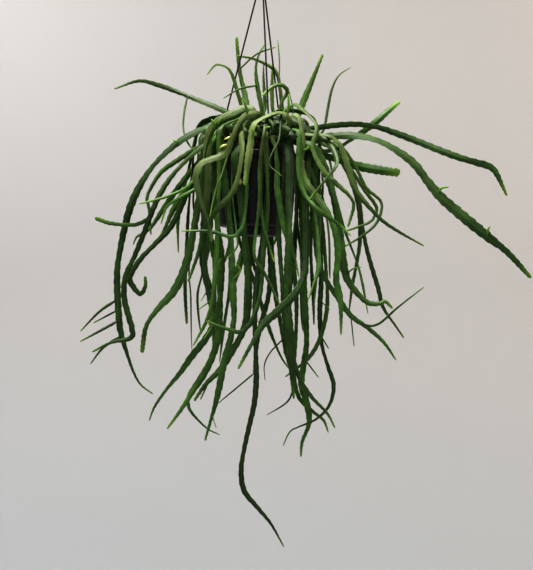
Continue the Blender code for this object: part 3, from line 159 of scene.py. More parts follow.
# How olive, how fresh and how much painted shade darkens the stems of a shoot; a number names one stem of the
# shoot
PLAIN = (0.0, 0.1, 0.0)
LOOKS = {
    "left_arc": (0.05, 0.0, 0.5), "left_inner": (0.2, 0.0, 0.1), "left_bright": (0.0, 0.9, 0.0),
    "left_hook": (0.1, 0.1, 0.0), "left_front": (0.25, 0.3, 0.1), "left_high": (0.25, 0.1, 0.2),
    "olive_left": (0.9, 0.1, 0.3), "olive_centre": (1.0, 0.1, 0.0), "centre_green": (0.2, 0.2, 0.0),
    "centre_green 1": (0.2, 0.1, 0.5), "pale_right": (0.9, 0.1, 0.0), "crossing": (0.3, 0.0, 0.15),
    "arch_right": (0.5, 0.3, 0.0), "right_high": (0.0, 0.1, 0.35), "right_long": (0.15, 0.1, 0.25),
    "right_up": (0.0, 0.5, 0.1), "right_upright": (0.6, 0.6, 0.0), "right_upright 1": (0.4, 0.1, 0.4),
    "right_sweep": (0.6, 0.2, 0.0), "right_loop": (0.6, 0.4, 0.0), "right_fall": (0.5, 0.0, 0.0),
    "right_hook": (0.1, 0.1, 0.25), "longest": (0.0, 0.0, 0.5), "low_left_a": (0.0, 0.1, 0.2),
    "low_left_b": (0.1, 0.1, 0.5), "olive_curve": (0.7, 0.1, 0.5), "diagonal": (0.3, 0.0, 0.5),
    "low_left_d": (0.2, 0.3, 0.0), "low_left_f": (0.3, 0.4, 0.0), "low_right_b": (0.0, 0.1, 1.0),
    "low_right_b 2": (0.2, 0.1, 0.7), "centre_bright": (0.1, 0.5, 0.6), "centre_strap": (0.1, 0.4, 0.2),
    "low_right_c": (0.2, 0.2, 0.0), "low_right_d": (0.0, 0.0, 0.3), "top_tall": (0.6, 0.5, 0.0),
    "top_centre": (0.2, 0.5, 0.1), "top_arch": (0.7, 0.5, 0.0), "top_twist": (0.5, 0.5, 0.0),
}

# Stems rolled about their line, so that a flat face shows as in the photograph: radians, foot to tip
ROLLED = {
    "left_high 0": (0.7, 0.7), "back_6 1": (-0.7, -0.7), "right_up 0": (-0.7, -0.7),
    "right_high 0": (-0.6, -0.6), "right_up 1": (-0.4, -0.4),
    "olive_left 0": (0, 0, 0.2, 0.2, -0.8, -0.6, 0, 0, 0), "left_front 0": (0.8, 0.8, 0.8, 0, 0, 0, 0),
}

# Where a stem's tip isn't as usual: the share of its width that is left there, and the taper's length
TIPS = {
    "left_hook 0": (0.45, 0.05), "left_inner 1": (0.8, 0.04), "left_front 0": (0.42, 0.10),
    "right_up 1": (0.8, 0.04), "left_arc 0": (0.25, 0.13), "low_left_c 0": (0.2, 0.13),
    "low_left_e 0": (0.2, 0.15), "low_left_d 0": (0.35, 0.10), "longest 0": (0.25, 0.12),
    "low_hook 0": (0.25, 0.16), "right_long 0": (0.3, 0.09), "right_high 0": (0.2, 0.07),
    "right_up 0": (0.6, 0.05), "right_sweep 0": (0.3, 0.13), "right_hook 0": (0.3, 0.07),
    "olive_centre 0": (0.55, 0.05),
}

# Where a stem is broader or narrower than the solid: its share near the foot and near the tip
BREADTHS = {
    "left_high 0": (1.35, 0.75), "left_arc 0": (0.9, 0.65), "right_long 0": (0.9, 1.0),
    "left_inner 0": (0.95, 1.0), "low_left_e 0": (1.0, 0.75), "right_high 0": (0.7, 1.25),
    "right_up 0": (1.1, 1.4), "right_up 1": (1.1, 1.25), "right_sweep 0": (1.1, 0.8),
    "left_front 0": (0.7, 1.1), "olive_left 0": (1.0, 0.8), "low_left_a 0": (1.0, 0.7),
    "low_left_f 0": (1.0, 1.2), "low_left_d 0": (1.0, 0.95), "low_hook 0": (1.0, 0.6),
    "longest 0": (1.0, 0.85),
}

# The studio's bowl and the camera
FLOOR_Z = -2.3
FLOOR_RADIUS = 3.2
BEND_RADIUS = 1.8
WALL_HEIGHT = 7.0
BOWL_SIDES = 96
PHOTO_HEIGHT = 570
SENSOR_MM = 24.0

# A Mix node set to mix colours, and which of its outputs gives the colour
COLOUR = {"out": 2, "data_type": "RGBA"}

# Small fresh growth, each as its start on a stem and its way in photo pixels
SPROUTS = (
    ((264, 129), (267, 127.5), (270.5, 127)),
    ((258, 131), (258.5, 128), (257, 125)),
    ((180, 146), (177, 142), (173, 140)),
    ((216, 128), (214, 123), (211, 119)),
    ((218, 127), (219, 122), (221, 118)),
    ((436, 190), (442, 188), (449, 187)),
    ((485, 234), (488, 230), (490, 226)),
    ((220, 270), (219, 264), (221, 258)),
    ((240, 277), (240, 271), (237, 264)),
    ((255, 138), (254, 133), (252, 128)),
    ((249, 112), (245, 104), (241, 97)),
    ((289, 118), (288.6, 106), (288.3, 94)),
    ((304, 152), (307, 149), (309, 146)),
)
PALE_TIPS = (
    ((241, 185), (240, 182), (238.5, 178)),
)
BUDS = (
    ((229, 143), (224, 145.5), (219.5, 148)),
    ((232, 137), (228, 138), (224, 139.5)),
)

# How broad a bud and a sprout are from their start, 0, to their end, 1
BUD_OUTLINE = [(0, 0.3), (0.2, 0.8), (0.5, 1.0), (0.8, 0.7), (1, 0.15)]
SPROUT_OUTLINE = [(0, 0.55), (0.4, 1.0), (0.75, 0.9), (0.93, 0.6), (1, 0.2)]


def stem(width, toward, *route):
    """A stem from the root: width in mm, then how far toward the viewer in mm along it, then photo points."""
    return ("stem", width, toward, route)


def side(width, toward, *route):
    """A side shoot of the stem listed before it, written in the same way."""
    return ("side", width, toward, route)


def back(width, heading, reach, drop, drift=0.0):
    """A stem by rule: heading in degrees from +X, reach and drop in mm, and its drift on the way down."""
    return ("back", width, (heading, reach, drop, drift), ())


# Every shoot: one root and the stems that leave it, with points read from the photograph
SHOOTS = {
    "left_arc": [
        stem(15, (15, 25, 10, 0), (232, 126), (216, 130), (200, 135), (186, 141), (173, 149), (159, 161),
             (146, 176), (136, 194), (128, 214), (123, 236), (118, 262), (117, 282), (118, 300), (119, 320),
             (122, 338), (128, 356), (134, 373), (141, 385), (148, 391), (153, 394)),
        side(5.5, (4, 12), (117, 301), (105, 307), (94, 318), (80, 332)),
        side(4.5, (3, -10), (118, 311), (108, 317), (93, 324)),
        side(6, (3, 20), (119, 321), (107, 327), (94, 335), (80, 342)),
        side(6, (2, 8), (121, 334), (110, 341), (100, 349), (93, 357), (90, 363)),
    ],
    "left_inner": [
        stem(9.5, (40, 50, 30, 20), (200, 146), (188, 157), (176, 171), (167, 182), (160, 194), (153, 208),
             (148, 223), (142, 238), (136, 253), (129, 268), (124, 282), (124, 296), (127, 310), (131, 325),
             (133, 334), (129, 339), (121, 340), (110, 343), (99, 348), (92, 352)),
        side(7.5, (24, 60), (150, 217), (143, 222), (134, 225), (122, 224), (109, 223), (95, 218)),
    ],
    "left_bright": [
        stem(6.5, (60, 95, 110), (208, 150), (203, 164), (196, 178), (187, 187), (177, 193), (165, 197),
             (152, 200), (139, 204)),
        stem(6.5, (50, 80, 85), (210, 160), (204, 178), (196, 189), (186, 193), (177, 199), (168, 206),
             (162, 216), (161, 224)),
    ],
    "left_hook": [
        stem(9.5, (30, 35, 20, 30), (206, 158), (193, 182), (181, 208), (170, 228), (160, 239), (148, 251),
             (139, 261), (132, 270), (130, 280), (135, 289), (141, 294), (145, 290), (145, 283), (145, 276)),
        stem(12, (20, 5, -5), (207, 162), (196, 180), (184, 194), (176, 204), (171, 216), (165, 228),
             (158, 242)),
        stem(8.5, (20, -20, -25), (204, 142), (190, 151), (177, 160), (165, 168), (156, 179), (149, 192),
             (147, 202), (150, 212), (152, 223), (151, 235)),
        stem(9.5, (0, -40, -60), (206, 152), (190, 172), (178, 188), (168, 202), (160, 214), (152, 226),
             (146, 232), (138, 236), (134, 240), (133, 245)),
    ],
    "left_front": [
        stem(13.5, (60, 90, 90, 70), (250, 115), (236, 118), (222, 122), (213, 131), (208, 143), (205, 158),
             (202, 180), (199, 200), (196, 218), (192, 238), (188, 258), (182, 276), (174, 291), (163, 304),
             (152, 315), (146, 327), (144, 340), (142, 353)),
    ],
    "left_high": [
        stem(9, (-5, -25, -30), (240, 122), (232, 118), (222, 113), (208, 105), (195, 100), (182, 94),
             (168, 89), (155, 84), (147, 82), (139, 81), (128, 84), (114, 89)),
        side(3.5, (-28, 10, 40), (189, 98), (186, 108), (184, 120), (184, 133), (187, 142), (194, 150),
             (203, 157)),
    ],
    "olive_left": [
        stem(13.5, (60, 98, 115, 118), (262, 116), (252, 118), (244, 123), (238, 133), (232, 144), (226, 153),
             (217, 158), (207, 161), (199, 166), (196, 177), (198, 192), (201, 203), (205, 214), (209, 226),
             (212, 242)),
        stem(13.5, (45, 75, 90), (256, 113), (244, 116), (232, 122), (221, 133), (213, 145), (209, 160),
             (208, 180), (206, 205), (204, 230), (203, 255), (205, 275), (208, 291), (212, 304), (213, 316),
             (210, 326)),
    ],
    "olive_centre": [
        stem(12, (50, 92, 112), (289, 123), (277, 120), (267, 123), (259, 132), (255, 145), (251, 160),
             (248, 174), (246, 187)),
        stem(9.5, (62, 88, 95), (248, 136), (246, 145), (243, 156), (240, 168), (239, 181), (236, 191),
             (229, 200), (220, 208), (212, 217), (206, 227), (202, 240), (198, 254), (192, 268), (188, 282)),
        stem(3.5, (60, 95, 120), (236, 140), (229, 160), (221, 180), (216, 190), (214, 200), (213, 209),
             (209, 218)),
    ],
    "centre_green": [
        stem(9, (55, 92, 102), (258, 128), (263, 134), (269, 143), (273, 158), (274, 175), (277, 195),
             (281, 212), (284, 226), (289, 240), (293, 252), (297, 264), (300, 279)),
        stem(4, (45, 95, 110), (282, 117), (284, 128), (283, 140), (278, 151), (272, 158), (271, 166),
             (277, 173), (283, 177)),
        stem(3.4, (45, 82, 105), (243, 150), (240, 175), (236, 200), (237, 222), (238, 241), (236, 252),
             (228, 259)),
        stem(8, (45, 85, 120), (300, 158), (306, 180), (312, 205), (316, 230), (318, 252), (318, 270),
             (315, 285), (308, 300)),
        stem(5, (-70, -90, -60), (322, 150), (334, 190), (343, 225), (353, 252), (360, 272), (364, 292),
             (368, 314)),
    ],
    "pale_right": [
        stem(11, (50, 90, 100), (294, 113), (297, 122), (299, 136), (299, 150), (300, 165), (303, 177),
             (310, 188), (319, 200), (326, 210), (332, 222), (336, 236), (338, 250), (337, 264), (336, 278),
             (339, 294), (342, 310), (343, 323), (341, 335)),
    ],
    "crossing": [
        stem(7.5, (40, 95, 115), (308, 132), (322, 138), (331, 146), (336, 156), (336, 165), (331, 173),
             (323, 181), (315, 189), (309, 200)),
        stem(7.5, (-35, -75, -80), (300, 122), (306, 128), (310, 140), (312, 165), (313, 195), (312, 225),
             (311, 255), (313, 290), (314, 325)),
    ],
    "arch_right": [
        stem(8.5, (20, 70, 95, 95), (289, 112), (294, 107), (303, 112), (312, 120), (317, 129), (315, 138),
             (313, 148), (318, 162), (326, 174), (336, 184), (345, 191), (352, 200), (354, 210), (352, 218),
             (348, 227)),
    ],
    "right_high": [
        stem(11.5, (0, -5, 15), (302, 134), (312, 131), (324, 128), (337, 126), (351, 125), (366, 125),
             (380, 128), (395, 133), (409, 138), (424, 144), (439, 150), (455, 156), (470, 161), (482, 164),
             (490, 167), (497, 174), (501, 183), (507, 196)),
    ],
    "right_long": [
        stem(17, (30, 40, 60), (303, 143), (314, 141), (327, 138), (341, 136), (355, 136), (370, 138),
             (385, 144), (399, 152), (411, 161), (421, 171), (428, 182), (436, 192), (447, 203), (459, 213),
             (471, 223), (484, 234), (496, 243), (507, 252), (516, 261), (524, 270), (531, 278)),
    ],
    "right_up": [
        stem(8.5, (5, -10, -30), (318, 150), (328, 151), (338, 148), (350, 140), (364, 131), (377, 121),
             (388, 111), (400, 101)),
        stem(12.5, (0, 10, 30), (322, 152), (336, 157), (350, 163), (362, 166), (375, 169), (388, 171),
             (400, 173)),
    ],
    "right_upright": [
        stem(11, (-5, -10, -5), (290, 132), (296, 122), (301, 111), (306, 98), (311, 85), (316, 72),
             (320, 62), (323, 54)),
        stem(4.5, (-30, -45, -50), (308, 134), (318, 134), (323, 126), (326, 113), (329, 99), (332, 88),
             (337, 78), (343, 71), (351, 67)),
    ],
    "right_sweep": [
        stem(10, (55, 75, 60), (318, 136), (329, 139), (338, 147), (345, 158), (348, 172), (353, 186),
             (361, 198), (369, 207), (377, 215), (384, 222), (393, 229), (403, 234), (413, 239), (424, 246)),
    ],
    "right_loop": [
        stem(5.5, (20, 20, 45), (330, 143), (344, 152), (353, 163), (358, 174), (364, 186), (374, 194),
             (381, 202), (381, 211), (377, 222), (370, 230), (362, 236), (353, 241), (344, 247)),
        stem(6.5, (10, 0, 20), (332, 148), (345, 160), (354, 174), (363, 188), (371, 197), (376, 206),
             (374, 217), (366, 224), (355, 228), (343, 232)),
    ],
    "right_fall": [
        stem(7.5, (-10, -25, -20), (335, 150), (347, 165), (355, 185), (360, 207), (363, 230), (367, 250),
             (372, 268), (377, 284), (381, 299), (385, 312), (391, 320), (398, 329), (404, 338)),
        stem(7.5, (-20, -45, -50), (335, 152), (347, 172), (356, 196), (360, 218), (360, 240), (358, 256),
             (355, 272), (352, 288), (350, 302), (349, 312)),
    ],
    "right_hook": [
        stem(13, (60, 80, 70), (308, 140), (320, 155), (328, 177), (334, 200), (338, 222), (341, 243),
             (343, 262), (346, 276), (353, 289), (362, 298), (371, 304), (380, 304), (387, 302), (393, 309)),
        side(4.5, (75, 95), (347, 277), (352, 272), (358, 270), (363, 269)),
    ],
    "right_low": [
        stem(9, (20, 60, 60, 50), (304, 150), (312, 175), (315, 205), (315, 235), (318, 260), (324, 276),
             (331, 288), (338, 298), (345, 307), (352, 317), (361, 324), (371, 330), (380, 338), (388, 348),
             (396, 360)),
        side(4, (57, 85), (361, 324), (370, 327), (380, 324), (388, 319), (396, 310), (405, 300), (414, 292),
             (424, 287)),
        side(3.2, (60, 50), (352, 316), (352, 328), (352, 338), (355, 347)),
    ],
    "low_hook": [
        stem(11, (-15, -60, -35, 10), (302, 140), (312, 165), (317, 200), (320, 240), (322, 275), (322, 300),
             (322, 325), (323, 345), (327, 362), (332, 377), (334, 390), (331, 402), (325, 412), (317, 419),
             (307, 423), (297, 428), (288, 434), (283, 446)),
        side(4.5, (-40, -30), (323, 303), (328, 308), (333, 313)),
        side(4.5, (-35, -30), (325, 336), (329, 342), (333, 349)),
    ],
    "longest": [
        stem(10, (60, 92, 90, 70), (262, 146), (265, 158), (266, 176), (265, 200), (263, 225), (260, 250),
             (258, 270), (256, 290), (255, 312), (255, 335), (256, 355), (256, 375), (256, 392), (253, 410),
             (249, 427), (245, 445), (242, 462), (241, 476), (243, 488), (249, 498), (257, 507), (265, 516),
             (273, 527), (279, 538), (284, 547)),
        side(2.6, (88, 60), (255, 369), (246, 375), (240, 383), (233, 391), (225, 397), (217, 403)),
    ],
    "low_left_a": [
        stem(14, (50, 92, 95, 80), (226, 152), (227, 172), (229, 205), (231, 235), (232, 262), (233, 290),
             (234, 312), (233, 330), (229, 344), (225, 358), (222, 373), (219, 389), (216, 402), (212, 416),
             (208, 430), (205, 441)),
        side(2.6, (80, 95), (212, 417), (214, 423), (216, 430)),
    ],
    "low_left_b": [
        stem(12.3, (40, 80, 85, 65), (242, 148), (244, 168), (245, 200), (246, 235), (248, 262), (249, 290),
             (248, 310), (245, 326), (239, 339), (232, 351), (225, 363), (217, 373), (208, 382), (201, 389),
             (197, 394), (194, 401)),
        side(4.5, (68, 50), (212, 378), (207, 385), (204, 391), (203, 397)),
    ],
    "olive_curve": [
        stem(8, (70, 105, 118), (266, 150), (266, 185), (265, 215), (263, 240), (262, 265), (261, 288),
             (258, 305), (252, 320), (244, 330), (235, 332), (226, 330), (217, 326), (206, 321)),
        stem(6, (80, 110, 112), (262, 165), (262, 195), (259, 220), (256, 238), (254, 252), (258, 264),
             (264, 272), (270, 284), (276, 296), (281, 308)),
    ],
    "diagonal": [
        stem(12.5, (55, 118, 135), (304, 165), (306, 200), (307, 230), (306, 255), (304, 273), (298, 287),
             (289, 299), (280, 308), (270, 317), (261, 327), (254, 339), (248, 351), (243, 360), (238, 369)),
        side(5, (132, 110), (269, 317), (262, 319), (256, 322)),
    ],
    "low_left_c": [
        stem(11, (30, 60, 50, 30), (222, 150), (222, 185), (224, 220), (225, 250), (223, 275), (221, 295),
             (218, 313), (212, 329), (204, 341), (195, 352), (187, 363), (180, 373), (171, 384), (162, 395),
             (155, 406), (149, 421)),
        side(4.5, (44, 65), (213, 326), (209, 334), (203, 340)),
    ],
    "low_left_d": [
        stem(12, (0, -20, 0, 20), (212, 160), (215, 195), (218, 230), (220, 262), (221, 290), (220, 315),
             (218, 338), (213, 355), (206, 371), (198, 384), (190, 396), (182, 408), (175, 419), (167, 429)),
        stem(2.6, (-20, -60, -70), (207, 165), (199, 205), (192, 240), (189, 270), (191, 300), (191, 325),
             (192, 350)),
    ],
    "low_left_e": [
        stem(11, (-20, -50, -20, 20), (214, 158), (208, 195), (205, 235), (205, 262), (208, 290), (214, 318),
             (216, 338), (212, 354), (205, 369), (197, 382), (190, 393), (188, 403), (192, 413), (200, 421),
             (209, 430), (220, 435)),
        side(4, (-40, -20), (207, 288), (205, 294), (200, 300)),
    ],
    "low_left_f": [
        stem(6.5, (75, 105, 112), (222, 160), (219, 200), (217, 235), (216, 262), (214, 285), (212, 302),
             (208, 316), (203, 330), (193, 346)),
        side(3.5, (108, 90), (211, 301), (206, 304), (197, 311)),
    ],
    "low_right_a": [
        stem(11.5, (-30, -80, -50, -10), (298, 138), (301, 175), (302, 215), (303, 255), (304, 290),
             (305, 320), (306, 345), (304, 362), (301, 376), (303, 391), (308, 406), (310, 420), (306, 432),
             (302, 444), (301, 457)),
        side(4, (-30, -10), (306, 358), (312, 366), (317, 371), (320, 377)),
    ],
    "low_right_b": [
        stem(13.3, (60, 100, 105, 80), (284, 146), (287, 170), (287, 210), (288, 245), (288, 280), (289, 312),
             (291, 342), (292, 370), (294, 399)),
        side(3.4, (84, 60), (292, 388), (288, 400), (281, 406), (274, 411), (266, 415)),
        stem(8.5, (50, 86, 80, 90), (279, 150), (278, 180), (277, 220), (280, 260), (283, 295), (285, 325),
             (291, 352), (298, 375), (306, 390), (316, 402), (326, 412), (332, 421), (335, 428)),
    ],
    "centre_bright": [
        stem(6.5, (70, 110, 122), (246, 140), (245, 165), (246, 190), (245, 212), (241, 228), (232, 236),
             (222, 235), (211, 231), (200, 229), (181, 230)),
        stem(5.5, (40, 90, 112), (262, 160), (261, 190), (262, 212), (265, 230), (270, 242), (271, 252),
             (275, 263)),
    ],
    "centre_strap": [
        stem(8.5, (60, 105, 120), (296, 135), (298, 165), (302, 188), (309, 201), (318, 210), (328, 216),
             (336, 222), (344, 229), (351, 236)),
        stem(7, (-20, -60, -50), (238, 140), (240, 180), (243, 215), (248, 250), (255, 280), (262, 305),
             (268, 325), (276, 346), (284, 362), (291, 371)),
    ],
    "low_right_c": [
        stem(8, (-55, -95, -60, -10), (280, 128), (284, 170), (288, 215), (292, 255), (296, 295), (296, 330),
             (294, 358), (294, 380), (298, 396), (308, 408), (319, 415), (325, 423), (328, 432)),
        stem(7.5, (-30, -85, -40, 20), (304, 135), (316, 170), (322, 210), (325, 255), (326, 295), (322, 325),
             (316, 345), (308, 358), (298, 367), (285, 377)),
    ],
    "low_right_d": [
        stem(9, (-50, -95, -85), (266, 128), (268, 170), (270, 215), (272, 255), (275, 290), (280, 320),
             (285, 345), (291, 368), (296, 385), (298, 397)),
        side(3, (-88, -60), (283, 337), (275, 347), (268, 354), (264, 366), (265, 380)),
    ],
    "top_tall": [
        stem(10.5, (-10, -15, -10), (251, 118), (248, 106), (245, 93), (242, 79), (240, 66), (238, 54),
             (238, 45), (238, 37)),
        side(2.6, (-12, 10), (241, 68), (250, 61), (258, 55), (267, 50), (277, 48)),
        stem(7, (10, 20, 25), (246, 118), (241, 106), (239, 94), (236, 83), (232, 74), (227, 67), (220, 64),
             (212, 68), (207, 75)),
    ],
    "top_centre": [
        stem(8, (5, 0, -5), (262, 118), (261, 106), (259, 95), (256, 82), (255, 69), (255, 60), (259, 50),
             (265, 40)),
        side(4.5, (1, 30), (257, 83), (248, 84), (240, 88), (231, 93), (223, 98)),
        stem(6.5, (-25, -35, -35), (266, 116), (266, 102), (265, 88), (264, 76), (264, 64)),
    ],
    "top_arch": [
        stem(7, (-40, -30, -5), (284, 118), (283, 106), (281, 93), (280, 82), (277, 73), (271, 66), (262, 61),
             (252, 58), (244, 56), (235, 55)),
        side(2.6, (-30, -45), (280, 83), (280, 66), (279, 52), (278, 40)),
        stem(7.5, (-55, -60, -60), (274, 118), (272, 104), (272, 90), (273, 75), (273, 61)),
    ],
    "top_twist": [
        stem(11, (-15, 0, 25), (276, 120), (278, 110), (282, 101), (287, 93), (285, 86), (278, 86), (270, 88),
             (262, 96)),
        stem(3, (15, 20, 25), (290, 124), (289, 112), (289, 103), (288, 94)),
    ],
    "back_1": [back(11, 20, 70, 150, 40), back(9, 55, 60, 330, -30)],
    "back_2": [back(12, 75, 65, 420, 20), back(9, 100, 45, 260, -30)],
    "back_3": [back(10, 130, 70, 350, 20), back(9, 155, 80, 210, 30)],
    "back_4": [back(12, 90, 80, 300, 40), back(8, 112, 40, 400, 20)],
    "back_5": [back(10, 35, 75, 240, -50), back(12, 5, 50, 300, 20)],
    "back_6": [back(11, 145, 60, 280, -40), back(10, 178, 50, 330, 20)],
    "back_7": [back(11, 62, 95, 190, 30), back(10, 82, 40, 340, 30)],
    "back_8": [back(10, 118, 95, 170, -30), back(11, 98, 60, 220, 30)],
    "back_9": [back(12, 45, 50, 380, 30), back(8, 68, 45, 180, 10)],
    "back_10": [back(11, 138, 45, 390, -20), back(9, 160, 55, 160, -20)],
}


def inner_wall(height):
    """The radius of the pot's inner wall at this height."""
    low, high = POT_BOTTOM_Z + 0.010, RIM_Z - 0.0028
    narrow, wide = WALL_BOTTOM_RADIUS - 0.0010, WALL_TOP_RADIUS - POT_WALL
    return narrow + (wide - narrow) * (height - low) / (high - low)


def soil_height(radius):
    """The mound's height at this distance from the pot's axis."""
    edge = inner_wall(SOIL_EDGE_Z) - GAP
    return SOIL_EDGE_Z + SOIL_RISE * (1 - (radius / edge) ** 2)


def root_places():
    """Places for roots on the mound, spread like the seeds of a sunflower."""
    places = []
    for number in range(ROOT_PLACES):
        radius = ROOT_SPREAD * math.sqrt((number + 0.5) / ROOT_PLACES)
        angle = number * GOLDEN_ANGLE
        places.append(Vector((radius * math.cos(angle), radius * math.sin(angle), soil_height(radius))))
    return places


def seen_at(pixel, toward):
    """The place that the photograph shows at this pixel, so far toward the camera from the pot's axis."""
    nearer = (CAMERA_AWAY - toward) / CAMERA_AWAY
    right = PHOTO_CENTRE[0] + (pixel[0] - PHOTO_CENTRE[0]) * nearer - RIM_IN_PHOTO[0]
    down = PHOTO_CENTRE[1] + (pixel[1] - PHOTO_CENTRE[1]) * nearer - RIM_IN_PHOTO[1]
    x = (right * math.cos(PHOTO_LEAN) + down * math.sin(PHOTO_LEAN)) * METRES_PER_PIXEL
    z = (right * math.sin(PHOTO_LEAN) - down * math.cos(PHOTO_LEAN)) * METRES_PER_PIXEL
    return Vector((x, -toward, RIM_Z + z))


def along_values(values, share):
    """The value at this share of the way along evenly spread values."""
    at = share * (len(values) - 1)
    first = min(int(at), len(values) - 2)
    return values[first] + (values[first + 1] - values[first]) * (at - first)


def photo_route(toward, pixels):
    last = len(pixels) - 1
    return [seen_at(pixel, 0.001 * along_values(toward, i / last)) for i, pixel in enumerate(pixels)]


def falling_route(heading, reach, drop, drift, luck):
    """A stem that rises from the crown, arches over the rim, and falls with a slow drift sideways."""
    way = math.radians(heading)
    out = Vector((math.cos(way), math.sin(way), 0))
    across = Vector((-out.y, out.x, 0))
    height = luck.uniform(0.045, 0.075)
    far = RIM_RADIUS + 0.001 * reach * 0.45
    route = [out * CROWN_RADIUS + Vector((0, 0, height)), out * far + Vector((0, 0, height * 0.75))]
    steps = max(3, round(drop / 70))
    for step in range(1, steps + 1):
        share = step / steps
        swing = 0.001 * drift * share ** 1.5 + luck.uniform(-0.008, 0.008)
        spread = far + 0.001 * reach * (0.25 * math.sin(share * math.pi * 0.8) + 0.08)
        route.append(out * spread + across * swing + Vector((0, 0, height * 0.6 - 0.001 * drop * share)))
    return [point + Vector((0, 0, RIM_Z)) for point in route]


def over_the_rim(first):
    """The points that carry a hanging stem from its root over the rim to its first point below the rim."""
    flat = Vector((first.x, first.y, 0))
    if first.z > RIM_Z + 0.02 or flat.length < 0.03:
        return []
    out = flat.normalized()
    shoulder = max(RIM_RADIUS + 0.012, flat.length * 0.85)
    crown = out * CROWN_RADIUS + Vector((0, 0, RIM_Z + ARCH_HEIGHT))
    return [crown, out * shoulder + Vector((0, 0, RIM_Z + SHOULDER_HEIGHT))]


def between(before, start, end, after, t):
    """The point at the share t from start to end, on a smooth curve through these four points."""
    return 0.5 * (2 * start + (end - before) * t + (2 * before - 5 * start + 4 * end - after) * t * t
                  + (3 * start - before - 3 * end + after) * t ** 3)


def curve_through(points, step):
    """Evenly spaced points on a smooth curve through these points."""
    ends = [points[0] * 2 - points[1], *points, points[-1] * 2 - points[-2]]
    fine = []
    for before, start, end, after in zip(ends, ends[1:], ends[2:], ends[3:]):
        pieces = max(2, math.ceil((end - start).length / 0.002))
        fine += [between(before, start, end, after, piece / pieces) for piece in range(pieces)]
    fine.append(points[-1].copy())
    lengths = np.concatenate([[0], np.cumsum([(b - a).length for a, b in zip(fine, fine[1:])])])
    count = max(3, round(lengths[-1] / step) + 1)
    return at_marks(np.linspace(0, lengths[-1], count), lengths, np.array(fine))


def at_marks(wanted, known, values):
    """Rows of values, read in between at the wanted marks."""
    return np.stack([np.interp(wanted, known, values[:, axis]) for axis in range(values.shape[1])], axis=1)


def dot(one, other):
    return np.sum(one * other, axis=1)


def unit(rows):
    return rows / np.linalg.norm(rows, axis=1)[:, None]


def length_and_way(rows):
    """Each row's length and its direction, safe where a row has no length."""
    length = np.linalg.norm(rows, axis=1)
    return length, rows / np.maximum(length, 1e-6)[:, None]


def square_to(face, along):
    """The faces turned square to their stem's direction."""
    face = face - dot(face, along)[:, None] * along
    weak = np.linalg.norm(face, axis=1) < 1e-3
    face[weak] = np.cross(along[weak], (1.0, 0.0, 0.0))
    return unit(face)


def turned_by(turn, across, face):
    """The two directions turned about the stem by an angle at each point."""
    return across * np.cos(turn) + face * np.sin(turn), face * np.cos(turn) - across * np.sin(turn)


def gather(sums, weights, ids, share, moves):
    """Add each move to its ring's sum, as much as the ring has a share in it."""
    np.add.at(sums, ids, moves * share[:, None])
    np.add.at(weights, ids, share)


def close_pairs(places, reach, stems):
    """Pairs of places of different stems that lie within this reach of each other."""
    tree = KDTree(len(places))
    for number, place in enumerate(places):
        tree.insert(place, number)
    tree.balance()
    found = [(a, b) for a, place in enumerate(places) for _, b, _ in tree.find_range(place, reach)
             if a < b and stems[a] != stems[b]]
    return np.array(found).T


def half_width(entry, gone, left):
    """Half the stem's width by how far it has gone and how much is left: narrow foot, joints, tapered tip."""
    foot_share = np.clip(0.42 + (1 - 0.42) * gone / 0.07, 0, 1)
    if entry["kind"] == "side":
        foot_share = np.clip(0.55 + gone / 0.03, 0, 1)
    tip_share = np.clip(0.34 + 0.66 * left / 0.055, 0, 1)
    into_joint = (gone + JOINT_LENGTH * entry["luck"]) % JOINT_LENGTH - JOINT_LENGTH / 2
    joint = 1 - 0.3 * np.exp(-(into_joint / 0.011) ** 2)
    return np.maximum(entry["width"] / 2 * foot_share * tip_share * joint, LEAST_HALF)


def half_thickness(entry, left):
    most = min(STEM_THICKNESS / 2, 0.42 * entry["width"])
    return np.maximum(most * np.clip(0.5 + left / 0.03, 0, 1), 0.0006)


def strand_ends(angle):
    """Where a strand's lower and upper end stand, for its angle round the pot."""
    way = math.radians(angle)
    out = Vector((math.cos(way), math.sin(way), 0))
    return out * STRAND_SEAT_RADIUS + Vector((0, 0, RIM_Z)), out * 0.0045 + Vector((0, 0, HUB_Z))


def ring_places(plant, entry):
    """The points of the centre line that get a ring: evenly spread, with one more at each sharp bend."""
    first, last = entry["ids"][[0, -1]]
    even = [*range(first, last - RING_EVERY // 2, RING_EVERY), last]
    places = even[:1]
    for start, end in zip(even, even[1:]):
        middle = (start + end) // 2
        one = Vector(plant.place[middle] - plant.place[start])
        two = Vector(plant.place[end] - plant.place[middle])
        if middle > start and one.angle(two) > SHARP_BEND:
            places.append(middle)
        places.append(end)
    return places


